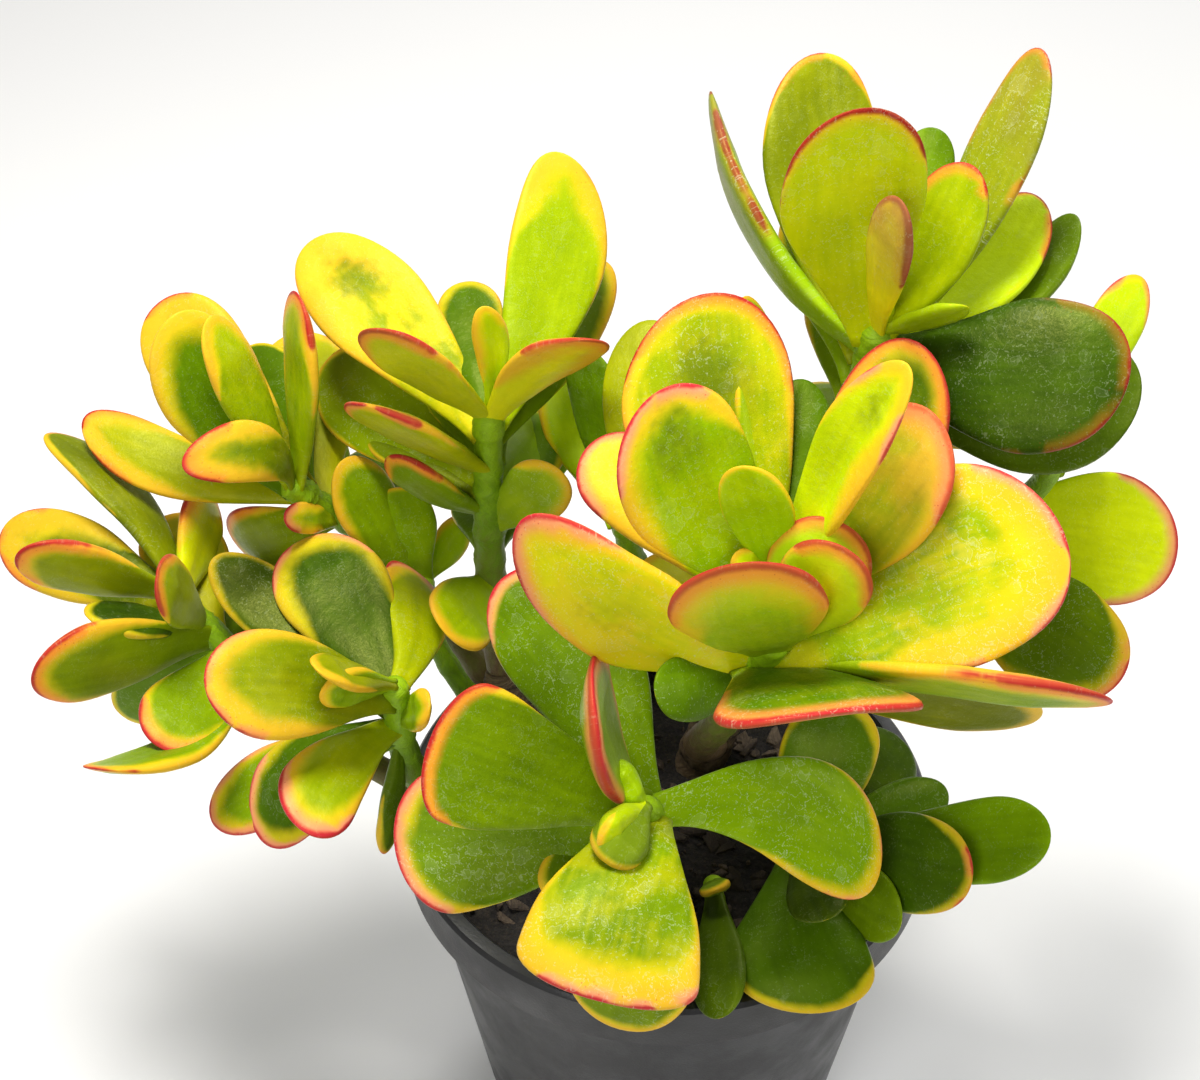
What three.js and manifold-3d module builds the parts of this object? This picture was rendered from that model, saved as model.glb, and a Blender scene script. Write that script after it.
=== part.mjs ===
// A potted jade plant with sunset colours (Crassula ovata), in millimetres, +Z up.
// The origin is the centre of the pot's flat underside.
// Every leaf has its own real length and width. Where its tip lies is given as the point of
// the reference picture that it covers, and worked back into space along that line of sight.

import * as THREE from "three";
import { mergeVertices } from "three/addons/utils/BufferGeometryUtils.js";
import Module from "manifold-3d";

const wasm = await Module();
wasm.setup();

// Pot and soil
const POT_HEIGHT = 113;
const POT_TOP_RADIUS = 65;
const POT_BASE_RADIUS = 47;
const POT_WALL = 2.4;
const RIM_HEIGHT = 14;
const RIM_OUT = 2.5;
const FOOT_ROUND = 3;
const DRAIN_HOLES = 6;
const DRAIN_RADIUS = 5;
const DRAIN_RING = 34;
const DRAIN_SIDES = 12;
const SOIL_TOP = 103;
const SOIL_SHOULDER = 4;
const SOIL_RINGS = [48, 24, 0];
const SOIL_BUMP = 1.6;
const GAP = 0.3;
const ROUND_SIDES = 36;
const SLIVER = 0.05;

// Leaves and stems
const LEAF_THICKNESS = 5.4;
const EDGE_THIN = 0.24;
const PETIOLE_WIDTH = 0.32;
const WIDEST_AT = 0.66;
const LONG_STATIONS = [0.02, 0.24, 0.45, 0.68, 0.88, 0.985];
const SHORT_STATIONS = [0.02, 0.3, 0.6, 0.86, 0.985];
const LONG_LEAF = 36;
const STEM_SIDES = 8;

// The viewpoint of the reference picture
const VIEW = {
  target: new THREE.Vector3(-17, 22, 183),
  elevation: THREE.MathUtils.degToRad(42),
  distance: 600,
  focal: 2450,
  centre: [600, 540],
};

const COLOURS = {
  pot: { color: 0x1d1d1e, roughness: 0.55, metalness: 0 },
  soil: { color: 0x2a211b, roughness: 0.95, metalness: 0 },
  wood: { color: 0x6b5640, roughness: 0.85, metalness: 0 },
  leaf: { color: 0x8fb41c, roughness: 0.35, metalness: 0 },
};

// The woody trunks: the centreline from the buried end upward, and the radius at each end.
const TRUNKS = [
  { name: "trunk_right", points: [[8, 26, 72], [10, 23, 103], [17, 19, 133]], radii: [7.2, 6] },
  { name: "trunk_front", points: [[-6, -12, 76], [-6, -16, 103], [-7, -24, 122]], radii: [6, 5.4] },
  { name: "trunk_left", points: [[-33, 24, 70], [-36, 25, 103], [-42, 24, 139]], radii: [7.6, 6.4] },
  { name: "trunk_side", points: [[-43, 1, 74], [-50, -1, 103], [-60, -5, 124]], radii: [6.6, 5.2] },
  { name: "trunk_back", points: [[9, 40, 74], [10, 43, 103], [12, 44, 129]], radii: [6.4, 5.4] },
];

// The leafy shoots. A stem is a line of points from its foot to its growing tip. A leaf grows
// `down` millimetres below that tip. `tip` is the picture point of the leaf's tip. `away` leaves
// lean away from the viewer, the others towards them. `turn` is how far the blade is swung
// from full face: above zero its visible face looks to the right when the tip points up.
// `under` leaves show their underside. `bow` arches the blade along its length, `side` curves
// it to the right and `cup` lifts its edges, all in millimetres. `widest` is where along the
// leaf it is widest. Hidden leaves have an `azimuth` and `pitch` instead of a `tip`.
const SHOOTS = [
  {
    name: "shoot_top_right",
    stems: [{ points: [[17, 19, 132], [27, 17, 165], [38, 12, 215], [44, 4, 262]], radii: [4.6, 3] }],
    leaves: [
      { down: 10, tip: [711, 95], length: 76, width: 26, turn: -80, under: true, away: true, side: -7 },
      { down: 13, tip: [819, 53], length: 74, width: 27, turn: 12, away: true, side: -3, bow: -3, cup: 2 },
      { down: 6, tip: [862, 108], length: 60, width: 31, turn: 5, side: -3, cup: 2.5, bow: -2 },
      { down: 3, tip: [902, 201], length: 44, width: 14, turn: -48, under: true, side: -1 },
      { down: 8, tip: [936, 128], length: 54, width: 13, away: true, widest: 0.8 },
      { down: 5, tip: [974, 166], length: 44, width: 19, turn: -24, side: 2, cup: 3 },
      { down: 8, tip: [1036, 195], length: 58, width: 20, turn: -32, away: true, side: 6, cup: 2 },
      { down: 12, tip: [1040, 48], length: 78, width: 20, turn: -46, away: true, side: 2, bow: -3 },
      { down: 14, tip: [1074, 214], length: 64, width: 18, turn: -55, away: true, side: 7 },
      { down: 10, tip: [1131, 370], length: 58, width: 34, turn: -10, side: 3, cup: -1.5, bow: 3 },
      { down: 17, tip: [1142, 388], length: 62, width: 32, turn: -14, away: true, side: 5 },
      { down: 2, tip: [968, 307], length: 24, width: 8, turn: 60 },
      { down: 20, azimuth: 95, pitch: 22, length: 56, width: 29 },
      { down: 30, azimuth: 85, pitch: 14, length: 44, width: 24 },
      { down: 32, azimuth: 24, pitch: -16, length: 40, width: 24 },
      { down: 44, azimuth: 95, pitch: -12, length: 38, width: 23 },
    ],
  },
  {
    name: "shoot_right_back",
    stems: [
      {
        points: [[12, 44, 128], [36, 42, 146], [74, 36, 172], [91, 30, 195], [90, 25, 216]],
        radii: [4.2, 2.6],
      },
    ],
    leaves: [
      { down: 4, tip: [1142, 277], length: 48, width: 14, turn: 18, away: true, side: 0 },
      { down: 6, azimuth: 150, pitch: 48, length: 48, width: 25 },
      { down: 12, azimuth: 95, pitch: 10, length: 50, width: 27 },
      { down: 18, azimuth: 76, pitch: -16, length: 44, width: 25 },
      { down: 50, tip: [1177, 556], length: 56, width: 34, turn: 12, away: true, side: -3 },
      { down: 58, tip: [1120, 682], length: 54, width: 30, away: true, side: 1 },
    ],
  },
  {
    name: "shoot_middle_right",
    stems: [
      {
        points: [[12, 17, 116], [8, -4, 138], [12, -22, 165], [17, -35, 190], [21, -39, 226]],
        radii: [4.4, 3],
      },
      { points: [[17, -35, 190], [18, -42, 204], [21, -49, 218]], radii: [3.8, 3] },
    ],
    leaves: [
      { down: 10, tip: [703, 294], length: 71, width: 38, turn: 4, away: true, side: -4, cup: 2, bow: -3 },
      { down: 14, tip: [749, 296], length: 74, width: 22, turn: 58, away: true, side: 2 },
      { down: 16, tip: [640, 322], length: 78, width: 26, away: true, side: -5 },
      { down: 5, tip: [658, 391], length: 56, width: 30, turn: 4, side: -4, cup: 2.5 },
      { down: 9, tip: [590, 444], length: 56, width: 22, turn: 15, away: true, widest: 0.76 },
      { down: 3, tip: [742, 430], length: 44, width: 16, turn: -15, away: true, side: 1 },
      { down: 2, tip: [741, 466], length: 36, width: 15, turn: -15, side: 1 },
      { down: 0, tip: [733, 556], length: 14, width: 7 },
      { down: 4, tip: [908, 364], length: 64, width: 17, turn: -30, cup: 4 },
      { down: 12, tip: [803, 379], length: 54, width: 17, away: true, side: 1 },
      { down: 9, tip: [815, 471], length: 34, width: 14, away: true },
      { down: 8, tip: [935, 414], length: 56, width: 27, turn: -18, side: 3 },
      { down: 12, tip: [918, 342], length: 68, width: 27, turn: -12, side: 4 },
      { down: 7, branch: 1, tip: [743, 563], length: 46, width: 33, turn: -12, under: true, side: -1, bow: -3 },
      { down: 9, branch: 1, tip: [1064, 532], length: 69, width: 43, turn: -5, side: -2, cup: 2, bow: 3 },
      { down: 13, branch: 1, tip: [1113, 701], length: 76, width: 26, turn: 80 },
      { down: 20, branch: 1, tip: [1040, 718], length: 68, width: 24, turn: 62, away: true },
      { down: 18, branch: 1, tip: [848, 712], length: 50, width: 45, turn: -60, cup: -3, widest: 0.72 },
      { down: 15, branch: 1, tip: [521, 520], length: 66, width: 28, turn: -35, side: -6, widest: 0.5 },
      { down: 24, branch: 1, tip: [655, 694], length: 32, width: 15 },
      { down: 3, branch: 1, tip: [843, 523], length: 33, width: 22, turn: 6, under: true },
      { down: 0, branch: 1, tip: [850, 551], length: 36, width: 20, turn: 6, under: true },
      { down: 34, azimuth: 95, pitch: -8, length: 44, width: 25 },
      { down: 28, azimuth: 48, pitch: -10, length: 44, width: 25 },
      { down: 30, azimuth: 122, pitch: 4, length: 42, width: 24 },
    ],
  },
  {
    name: "shoot_front",
    stems: [
      { points: [[-7, -24, 121], [-6, -34, 136], [-6, -46, 156], [-7, -60, 177]], radii: [4.6, 3.2] },
    ],
    leaves: [
      { down: 8, tip: [429, 741], length: 54, width: 32, turn: -6, cup: 2, widest: 0.85 },
      { down: 14, tip: [394, 843], length: 58, width: 33, away: true, side: -1, cup: 1.5, widest: 0.76 },
      { down: 5, tip: [592, 666], length: 42, width: 30, turn: 74, side: -4, cup: 2 },
      { down: 14, tip: [509, 573], length: 66, width: 31, turn: -8, away: true, side: 4 },
      { down: -2, tip: [605, 766], length: 13, width: 9, thick: 9 },
      { down: -3, tip: [606, 862], length: 19, width: 13, thick: 8, under: true },
      { down: -3, tip: [598, 846], length: 18, width: 12, thick: 6, turn: -60 },
      { down: 8, tip: [598, 1001], length: 50, width: 40, bow: 7, cup: -3, widest: 0.83 },
      { down: 14, tip: [628, 1031], length: 56, width: 32, turn: 6, away: true, side: 1 },
      { down: 10, tip: [880, 872], length: 60, width: 28, away: true, side: -9, widest: 0.74 },
      { down: 20, tip: [541, 890], length: 30, width: 13 },
    ],
  },
  {
    name: "shoot_left_tall",
    stems: [
      { points: [[-42, 24, 138], [-44, 23, 163], [-44, 22, 190], [-43, 21, 225]], radii: [4.4, 3] },
    ],
    leaves: [
      { down: 6, tip: [563, 153], length: 72, width: 24, turn: 8, away: true, side: 5.5, bow: -2, cup: 1.5 },
      { down: 12, tip: [607, 262], length: 66, width: 15, away: true, side: 1.5 },
      { down: 8, tip: [308, 243], length: 68, width: 26, turn: 6, away: true, side: 1, cup: 1.5 },
      { down: 3, tip: [368, 329], length: 48, width: 17, turn: -55, under: true },
      { down: 3, tip: [464, 282], length: 42, width: 16, away: true, widest: 0.75 },
      { down: 0, tip: [481, 307], length: 32, width: 9, turn: 30, side: 2 },
      { down: 5, tip: [422, 319], length: 38, width: 9, away: true },
      { down: 6, tip: [601, 341], length: 50, width: 16, turn: 48, under: true, side: -4 },
      { down: 25, tip: [325, 362], length: 60, width: 26, away: true, cup: 1.5 },
      { down: 20, tip: [354, 403], length: 46, width: 22, turn: -76 },
      { down: 33, tip: [391, 455], length: 32, width: 15, turn: -64, side: -2 },
      { down: 38, tip: [562, 472], length: 34, width: 16, turn: 10, under: true },
      { down: 30, tip: [557, 422], length: 44, width: 20, away: true },
      { down: 56, tip: [446, 634], length: 32, width: 19, turn: -10 },
      { down: 18, azimuth: 100, pitch: 2, length: 50, width: 27 },
      { down: 40, azimuth: 75, pitch: 10, length: 42, width: 24 },
      { down: 26, azimuth: 132, pitch: 0, length: 42, width: 24 },
      { down: 48, azimuth: 92, pitch: -10, length: 34, width: 20 },
    ],
  },
  {
    name: "shoot_centre_back",
    stems: [{ points: [[7, 47, 112], [0, 42, 136], [-8, 33, 166], [-14, 26, 194]], radii: [3.4, 2.6] }],
    leaves: [
      { down: 8, tip: [586, 346], length: 48, width: 18, turn: -48 },
      { down: 8, tip: [624, 362], length: 46, width: 18, turn: 20, away: true },
      { down: 4, azimuth: 60, pitch: 45, length: 44, width: 24 },
      { down: 14, azimuth: 108, pitch: 26, length: 48, width: 25 },
      { down: 20, azimuth: 52, pitch: 20, length: 43, width: 23 },
    ],
  },
  {
    name: "shoot_back",
    stems: [{ points: [[13, 46, 116], [16, 58, 134], [16, 66, 152], [14, 70, 168]], radii: [3.4, 2.6] }],
    leaves: [
      { down: 2, azimuth: 100, pitch: 58, length: 30, width: 16 },
      { down: 2, azimuth: 290, pitch: 80, length: 21, width: 13 },
      { down: 6, azimuth: 20, pitch: 26, length: 40, width: 22 },
      { down: 6, azimuth: 170, pitch: 24, length: 38, width: 21 },
      { down: 12, azimuth: 80, pitch: 14, length: 46, width: 25 },
      { down: 18, azimuth: 128, pitch: 0, length: 42, width: 24 },
      { down: 18, azimuth: 36, pitch: 2, length: 42, width: 24 },
      { down: 28, azimuth: 76, pitch: -14, length: 38, width: 22 },
    ],
  },
  {
    name: "shoot_left_back",
    stems: [
      { points: [[-44, 29, 122], [-58, 36, 144], [-76, 36, 172], [-94, 29, 196]], radii: [3.8, 2.8] },
    ],
    leaves: [
      { down: 8, tip: [158, 303], length: 62, width: 25, turn: -6, away: true, cup: 1, widest: 0.75 },
      { down: 6, tip: [170, 317], length: 55, width: 25, turn: 8, side: -3 },
      { down: 3, tip: [207, 319], length: 50, width: 18, turn: 50 },
      { down: 8, tip: [247, 347], length: 46, width: 19, turn: -20, away: true, side: 2 },
      { down: 5, tip: [297, 293], length: 52, width: 22, turn: -72, side: 1 },
      { down: 3, tip: [182, 462], length: 38, width: 15, turn: 10, side: 5, bow: 7, widest: 0.66 },
      { down: 8, tip: [83, 419], length: 60, width: 17, turn: 18, away: true, side: -4 },
      { down: 20, tip: [232, 538], length: 38, width: 18, turn: -25, away: true, bow: 3 },
      { down: 23, tip: [284, 517], length: 24, width: 8 },
      { down: 14, azimuth: 100, pitch: 22, length: 50, width: 26 },
      { down: 24, azimuth: 120, pitch: 8, length: 42, width: 24 },
      { down: 30, azimuth: 84, pitch: -6, length: 40, width: 23 },
    ],
  },
  {
    name: "shoot_far_left",
    stems: [
      { points: [[-59, -2, 116], [-77, 1, 127], [-102, 6, 152], [-122, 12, 176]], radii: [3.6, 2.8] },
    ],
    leaves: [
      { down: 6, tip: [48, 433], length: 58, width: 17, turn: 50, away: true, side: 5 },
      { down: 6, tip: [2, 530], length: 54, width: 22, turn: 8, away: true },
      { down: 2, tip: [18, 552], length: 44, width: 17, turn: -45 },
      { down: 13, tip: [87, 617], length: 36, width: 15, turn: 60 },
      { down: 17, tip: [32, 673], length: 54, width: 23, turn: -42 },
      { down: 20, tip: [120, 714], length: 40, width: 18, turn: -20, away: true },
      { down: 13, tip: [157, 573], length: 36, width: 16, turn: 42, under: true },
      { down: 4, tip: [211, 492], length: 36, width: 17, turn: 50, away: true },
      { down: 22, tip: [160, 748], length: 36, width: 21, turn: 10 },
      { down: 26, tip: [88, 768], length: 54, width: 20, turn: 62, side: -9 },
      { down: 16, azimuth: 112, pitch: 10, length: 40, width: 22 },
      { down: 26, azimuth: 86, pitch: -8, length: 36, width: 21 },
    ],
  },
  {
    name: "shoot_lower_left",
    stems: [{ points: [[-61, -5, 123], [-64, -12, 140], [-65, -18, 158], [-65, -22, 178]], radii: [4, 2.8] }],
    leaves: [
      { down: 7, tip: [299, 541], length: 52, width: 27, turn: 6, away: true, side: 1, cup: 1.5 },
      { down: 4, tip: [402, 563], length: 42, width: 17, turn: 28, away: true, side: 4.5 },
      { down: 6, tip: [204, 680], length: 50, width: 26, turn: 15, bow: 2 },
      { down: 1, tip: [314, 667], length: 30, width: 12, turn: 60 },
      { down: 1, tip: [322, 689], length: 26, width: 11, turn: -40 },
      { down: 18, tip: [301, 830], length: 42, width: 20, turn: 12, side: 3.5, widest: 0.74 },
      { down: 20, tip: [257, 835], length: 46, width: 23, turn: 14, away: true, side: 4 },
      { down: 22, tip: [210, 817], length: 56, width: 20, turn: 20, away: true, side: 1 },
      { down: 17, tip: [430, 704], length: 22, width: 10, turn: -30 },
      { down: 22, tip: [386, 853], length: 38, width: 9, turn: -55, away: true },
      { down: 14, tip: [214, 557], length: 62, width: 18, turn: 20, away: true },
    ],
  },
  {
    name: "shoot_inner_left",
    stems: [{ points: [[-44, 23, 116], [-53, 22, 133], [-60, 26, 148], [-62, 31, 163]], radii: [3, 2.4] }],
    leaves: [
      { down: 6, tip: [341, 461], length: 44, width: 18, turn: 25 },
      { down: 3, tip: [386, 490], length: 28, width: 19 },
      { down: 2, tip: [466, 520], length: 22, width: 10, turn: 30, away: true },
    ],
  },
  {
    name: "shoot_low_right",
    stems: [{ points: [[34, -12, 76], [34, -16, 103], [33, -22, 116], [32, -28, 126]], radii: [3.6, 2.8] }],
    leaves: [
      { down: 5, tip: [973, 874], length: 52, width: 24, turn: 6, side: -1 },
      { down: 8, tip: [1051, 836], length: 68, width: 21, turn: -15, widest: 0.76 },
      { down: 4, tip: [900, 738], length: 50, width: 24, away: true },
      { down: 8, tip: [948, 792], length: 42, width: 16, turn: 20, away: true },
      { down: 6, tip: [828, 1012], length: 46, width: 34, side: 5 },
      { down: 3, tip: [826, 920], length: 32, width: 15 },
      { down: 6, tip: [901, 925], length: 38, width: 18, turn: 30 },
      { down: 12, azimuth: 72, pitch: 22, length: 44, width: 25 },
    ],
  },
  {
    name: "shoot_low_front",
    stems: [{ points: [[12, -24, 78], [12, -26, 103], [11, -31, 117]], radii: [2.6, 2.2] }],
    leaves: [
      { down: 3, tip: [721, 1018], length: 44, width: 14, turn: 20 },
      { down: 1, tip: [716, 890], length: 16, width: 8 },
    ],
  },
];

const SIGHT = new THREE.Vector3(0, Math.cos(VIEW.elevation), -Math.sin(VIEW.elevation));
const PICTURE_UP = new THREE.Vector3(0, Math.sin(VIEW.elevation), Math.cos(VIEW.elevation));
const EYE = VIEW.target.clone().addScaledVector(SIGHT, -VIEW.distance);

// A closed solid through rings of equally many points, first ring to last.
function loft(rings) {
  const count = rings[0].length;
  const positions = [];
  const indices = [];
  for (const ring of rings) {
    for (const point of ring) positions.push(point.x, point.y, point.z);
  }
  for (let r = 0; r < rings.length - 1; r += 1) {
    for (let i = 0; i < count; i += 1) {
      const next = (i + 1) % count;
      const [a, b, c, d] = [r * count + i, r * count + next, (r + 1) * count + i, (r + 1) * count + next];
      if (i < count / 2) indices.push(a, b, d, a, d, c);
      else indices.push(a, b, c, b, d, c);
    }
  }
  const last = (rings.length - 1) * count;
  for (let i = 1; i < count - 1; i += 1) {
    indices.push(0, i + 1, i);
    indices.push(last, last + i, last + i + 1);
  }
  const geometry = new THREE.BufferGeometry();
  geometry.setAttribute("position", new THREE.Float32BufferAttribute(positions, 3));
  geometry.setIndex(indices);
  return geometry;
}

function toSolid(geometry) {
  const bare = geometry.clone();
  bare.deleteAttribute("normal");
  bare.deleteAttribute("uv");
  const merged = mergeVertices(bare, 1e-4);
  const solid = new wasm.Manifold(new wasm.Mesh({
    numProp: 3,
    vertProperties: new Float32Array(merged.attributes.position.array),
    triVerts: new Uint32Array(merged.index.array),
  }));
  return solid;
}

function toMesh(name, solid, colour) {
  const mesh = solid.asOriginal().simplify(SLIVER).getMesh();
  const geometry = new THREE.BufferGeometry();
  geometry.setAttribute("position", new THREE.BufferAttribute(new Float32Array(mesh.vertProperties), 3));
  geometry.setIndex(new THREE.BufferAttribute(new Uint32Array(mesh.triVerts), 1));
  geometry.computeVertexNormals();
  const result = new THREE.Mesh(geometry, new THREE.MeshStandardMaterial(colour));
  result.name = name;
  return result;
}

function vectors(points) {
  return points.map((point) => new THREE.Vector3(...point));
}

// A round stem along a line of points, its radius running evenly from end to end.
function stemSolid({ points, radii }, grow = 0, steps = 2 * (points.length - 1)) {
  const path = new THREE.CatmullRomCurve3(vectors(points));
  const rings = [];
  const reference = new THREE.Vector3(0.3, 1, 0).normalize();
  for (let s = 0; s <= steps; s += 1) {
    const along = s / steps;
    const centre = path.getPointAt(along);
    const tangent = path.getTangentAt(along);
    if (s === 0) centre.addScaledVector(tangent, -grow);
    if (s === steps) centre.addScaledVector(tangent, grow);
    const side = new THREE.Vector3().crossVectors(reference, tangent).normalize();
    const other = new THREE.Vector3().crossVectors(tangent, side);
    const radius = THREE.MathUtils.lerp(radii[0], radii[1], along) + grow;
    const ring = [];
    for (let i = 0; i < STEM_SIDES; i += 1) {
      const angle = (i / STEM_SIDES) * 2 * Math.PI;
      ring.push(centre.clone()
        .addScaledVector(side, radius * Math.cos(angle))
        .addScaledVector(other, radius * Math.sin(angle)));
    }
    rings.push(ring);
  }
  return toSolid(loft(rings));
}

// The point `down` millimetres below the growing tip of a stem.
function stemPoint({ points }, down) {
  const path = new THREE.CatmullRomCurve3(vectors(points));
  if (down < 0) return path.getPointAt(1).addScaledVector(path.getTangentAt(1), -down);
  return path.getPointAt(1 - Math.min(down / path.getLength(), 0.97));
}

// The direction in space of a point of the picture, seen from the viewpoint.
function sightLine([px, py]) {
  return SIGHT.clone()
    .addScaledVector(new THREE.Vector3(1, 0, 0), (px - VIEW.centre[0]) / VIEW.focal)
    .addScaledVector(PICTURE_UP, (VIEW.centre[1] - py) / VIEW.focal)
    .normalize();
}

// Where a leaf of the given length ends, so that its tip covers its picture point.
function leafTip(leaf, base) {
  if (leaf.tip === undefined) {
    const azimuth = THREE.MathUtils.degToRad(leaf.azimuth);
    const pitch = THREE.MathUtils.degToRad(leaf.pitch);
    return base.clone().add(new THREE.Vector3(
      leaf.length * Math.cos(pitch) * Math.cos(azimuth),
      leaf.length * Math.cos(pitch) * Math.sin(azimuth),
      leaf.length * Math.sin(pitch),
    ));
  }
  const line = sightLine(leaf.tip);
  const nearest = base.clone().sub(EYE).dot(line);
  const offset = EYE.clone().addScaledVector(line, nearest).distanceTo(base);
  const reach = Math.sqrt(Math.max(leaf.length ** 2 - offset ** 2, 0));
  return EYE.clone().addScaledVector(line, leaf.away ? nearest + reach : nearest - reach);
}

// The axis of a leaf, the direction across it, the direction that its upper face looks, and
// the direction across it before its turn.
function leafFrame(leaf, base, tip) {
  const axis = tip.clone().sub(base).normalize();
  const across = new THREE.Vector3();
  const face = new THREE.Vector3();
  if (leaf.tip === undefined) {
    across.crossVectors(axis, new THREE.Vector3(0, 0, 1)).normalize();
    face.crossVectors(across, axis);
    return { axis, across, face, flat: across };
  }
  across.crossVectors(base.clone().sub(EYE), axis).normalize();
  const flat = across.clone();
  across.applyAxisAngle(axis, THREE.MathUtils.degToRad(leaf.turn ?? 0));
  face.crossVectors(across, axis);
  if (leaf.under) {
    face.negate();
    across.negate();
  }
  return { axis, across, face, flat };
}

// Half the width of a leaf along its length, as a share of its widest half.
function leafOutline(along, widest = WIDEST_AT) {
  if (along >= widest) {
    const past = (along - widest) / (1 - widest);
    return Math.sqrt(Math.max(1 - past ** 2.2, 0));
  }
  const rise = THREE.MathUtils.smoothstep(along, 0, widest);
  return PETIOLE_WIDTH + (1 - PETIOLE_WIDTH) * rise;
}

// A leaf as a closed blade of six-sided sections, thick in the middle and thin at its edge.
function leafSolid(leaf, stem) {
  const base = stemPoint(stem, leaf.down);
  const tip = leafTip(leaf, base);
  const { axis, across, face, flat } = leafFrame(leaf, base, tip);
  const length = tip.distanceTo(base);
  const stations = leaf.length > LONG_LEAF ? LONG_STATIONS : SHORT_STATIONS;
  const thick = leaf.thick ?? LEAF_THICKNESS * Math.min(1, 0.45 + leaf.width / 50);
  const rings = stations.map((along) => {
    const half = (leaf.width / 2) * leafOutline(along, leaf.widest);
    const arch = 4 * along * (1 - along);
    const deep = (thick / 2) * Math.min(1, 0.3 + 3 * Math.max(1 - along, 0.05));
    const centre = base.clone().addScaledVector(axis, length * along)
      .addScaledVector(face, arch * (leaf.bow ?? 0))
      .addScaledVector(flat, arch * (leaf.side ?? 0));
    const cup = (leaf.cup ?? 0) * (half / (leaf.width / 2)) ** 2;
    const at = (out, up) => centre.clone().addScaledVector(across, out * half).addScaledVector(face, up);
    const flank = 0.25 * cup;
    return [
      at(-1, cup), at(-0.5, flank + deep), at(0.5, flank + deep),
      at(1, cup - deep * EDGE_THIN), at(0.5, flank - deep), at(-0.5, flank - deep),
    ];
  });
  return toSolid(loft(rings));
}

// The outer body of everything that grew together: a pocket sealed between crowded leaf feet
// comes apart as a shell of negative volume and is left out, so it fills up.
function grownTogether(solids) {
  const shells = wasm.Manifold.union(solids).decompose();
  return shells.reduce((outer, shell) => (shell.volume() > outer.volume() ? shell : outer));
}

function turnedSolid(profile) {
  const outline = profile.map(([radius, height]) => new THREE.Vector2(radius, height));
  const geometry = new THREE.LatheGeometry(outline, ROUND_SIDES);
  geometry.rotateX(Math.PI / 2);
  return toSolid(geometry);
}

function potWallRadius(height) {
  return THREE.MathUtils.lerp(POT_BASE_RADIUS, POT_TOP_RADIUS, height / POT_HEIGHT);
}

// A tapered nursery pot with a rolled rim and drain holes through its floor.
function potSolid() {
  const rimBottom = POT_HEIGHT - RIM_HEIGHT;
  let pot = turnedSolid([
    [0, 0], [POT_BASE_RADIUS - FOOT_ROUND, 0], [POT_BASE_RADIUS, FOOT_ROUND],
    [potWallRadius(rimBottom), rimBottom], [POT_TOP_RADIUS + RIM_OUT, rimBottom + 1],
    [POT_TOP_RADIUS + RIM_OUT, POT_HEIGHT], [POT_TOP_RADIUS - POT_WALL, POT_HEIGHT],
    [POT_BASE_RADIUS - POT_WALL, POT_WALL], [0, POT_WALL],
  ]);
  for (let i = 0; i < DRAIN_HOLES; i += 1) {
    const angle = (i / DRAIN_HOLES) * 2 * Math.PI;
    const hole = new THREE.CylinderGeometry(DRAIN_RADIUS, DRAIN_RADIUS, 4 * POT_WALL, DRAIN_SIDES);
    hole.rotateX(Math.PI / 2);
    hole.translate(DRAIN_RING * Math.cos(angle), DRAIN_RING * Math.sin(angle), 0);
    pot = pot.subtract(toSolid(hole));
  }
  return pot;
}

// The potting mix: it fills the pot, with a lumpy top and a plain hole for each woody stem.
function soilSolid(standing) {
  const inner = (height) => potWallRadius(height) - POT_WALL - 2 * GAP;
  const shoulder = SOIL_TOP - SOIL_SHOULDER;
  const profile = [
    [0, POT_WALL + GAP], [inner(0), POT_WALL + GAP],
    [inner(shoulder), shoulder], [inner(SOIL_TOP) - SOIL_SHOULDER, SOIL_TOP],
    ...SOIL_RINGS.map((radius) => [radius, SOIL_TOP]),
  ];
  const outline = profile.map(([radius, height]) => new THREE.Vector2(radius, height));
  const geometry = new THREE.LatheGeometry(outline, ROUND_SIDES);
  geometry.rotateX(Math.PI / 2);
  const position = geometry.attributes.position;
  for (let i = 0; i < position.count; i += 1) {
    const [x, y, z] = [position.getX(i), position.getY(i), position.getZ(i)];
    if (z > SOIL_TOP - 1) position.setZ(i, z + SOIL_BUMP * Math.sin(0.21 * x + 1) * Math.cos(0.17 * y));
  }
  let soil = toSolid(geometry);
  for (const stem of standing) soil = soil.subtract(stemSolid(stem, GAP));
  return soil;
}

const plant = new THREE.Group();
const shootStems = SHOOTS.flatMap((shoot) => shoot.stems);
const rooted = shootStems.filter((stem) => stem.points[0][2] < SOIL_TOP);

plant.add(toMesh("pot", potSolid(), COLOURS.pot));
plant.add(toMesh("soil", soilSolid([...TRUNKS, ...rooted]), COLOURS.soil));

for (const trunk of TRUNKS) {
  let solid = stemSolid(trunk);
  for (const stem of shootStems) solid = solid.subtract(stemSolid(stem, GAP));
  plant.add(toMesh(trunk.name, solid, COLOURS.wood));
}

for (const shoot of SHOOTS) {
  const stems = shoot.stems.map((stem) => stemSolid(stem));
  const leaves = shoot.leaves.map((leaf) => leafSolid(leaf, shoot.stems[leaf.branch ?? 0]));
  plant.add(toMesh(shoot.name, grownTogether([...stems, ...leaves]), COLOURS.leaf));
}

export default plant;
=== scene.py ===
"""The look of a potted jade plant: fine leaves, stems, bark, soil and pot around its solids.

Lengths in the tables are millimetres, in the plant's own frame: +Z up, origin under the pot.
A leaf's tip is given as the point of the 1200 x 1080 picture that it covers.
"""

import math
from dataclasses import dataclass

import bpy
import numpy as np
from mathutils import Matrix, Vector, noise


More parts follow.
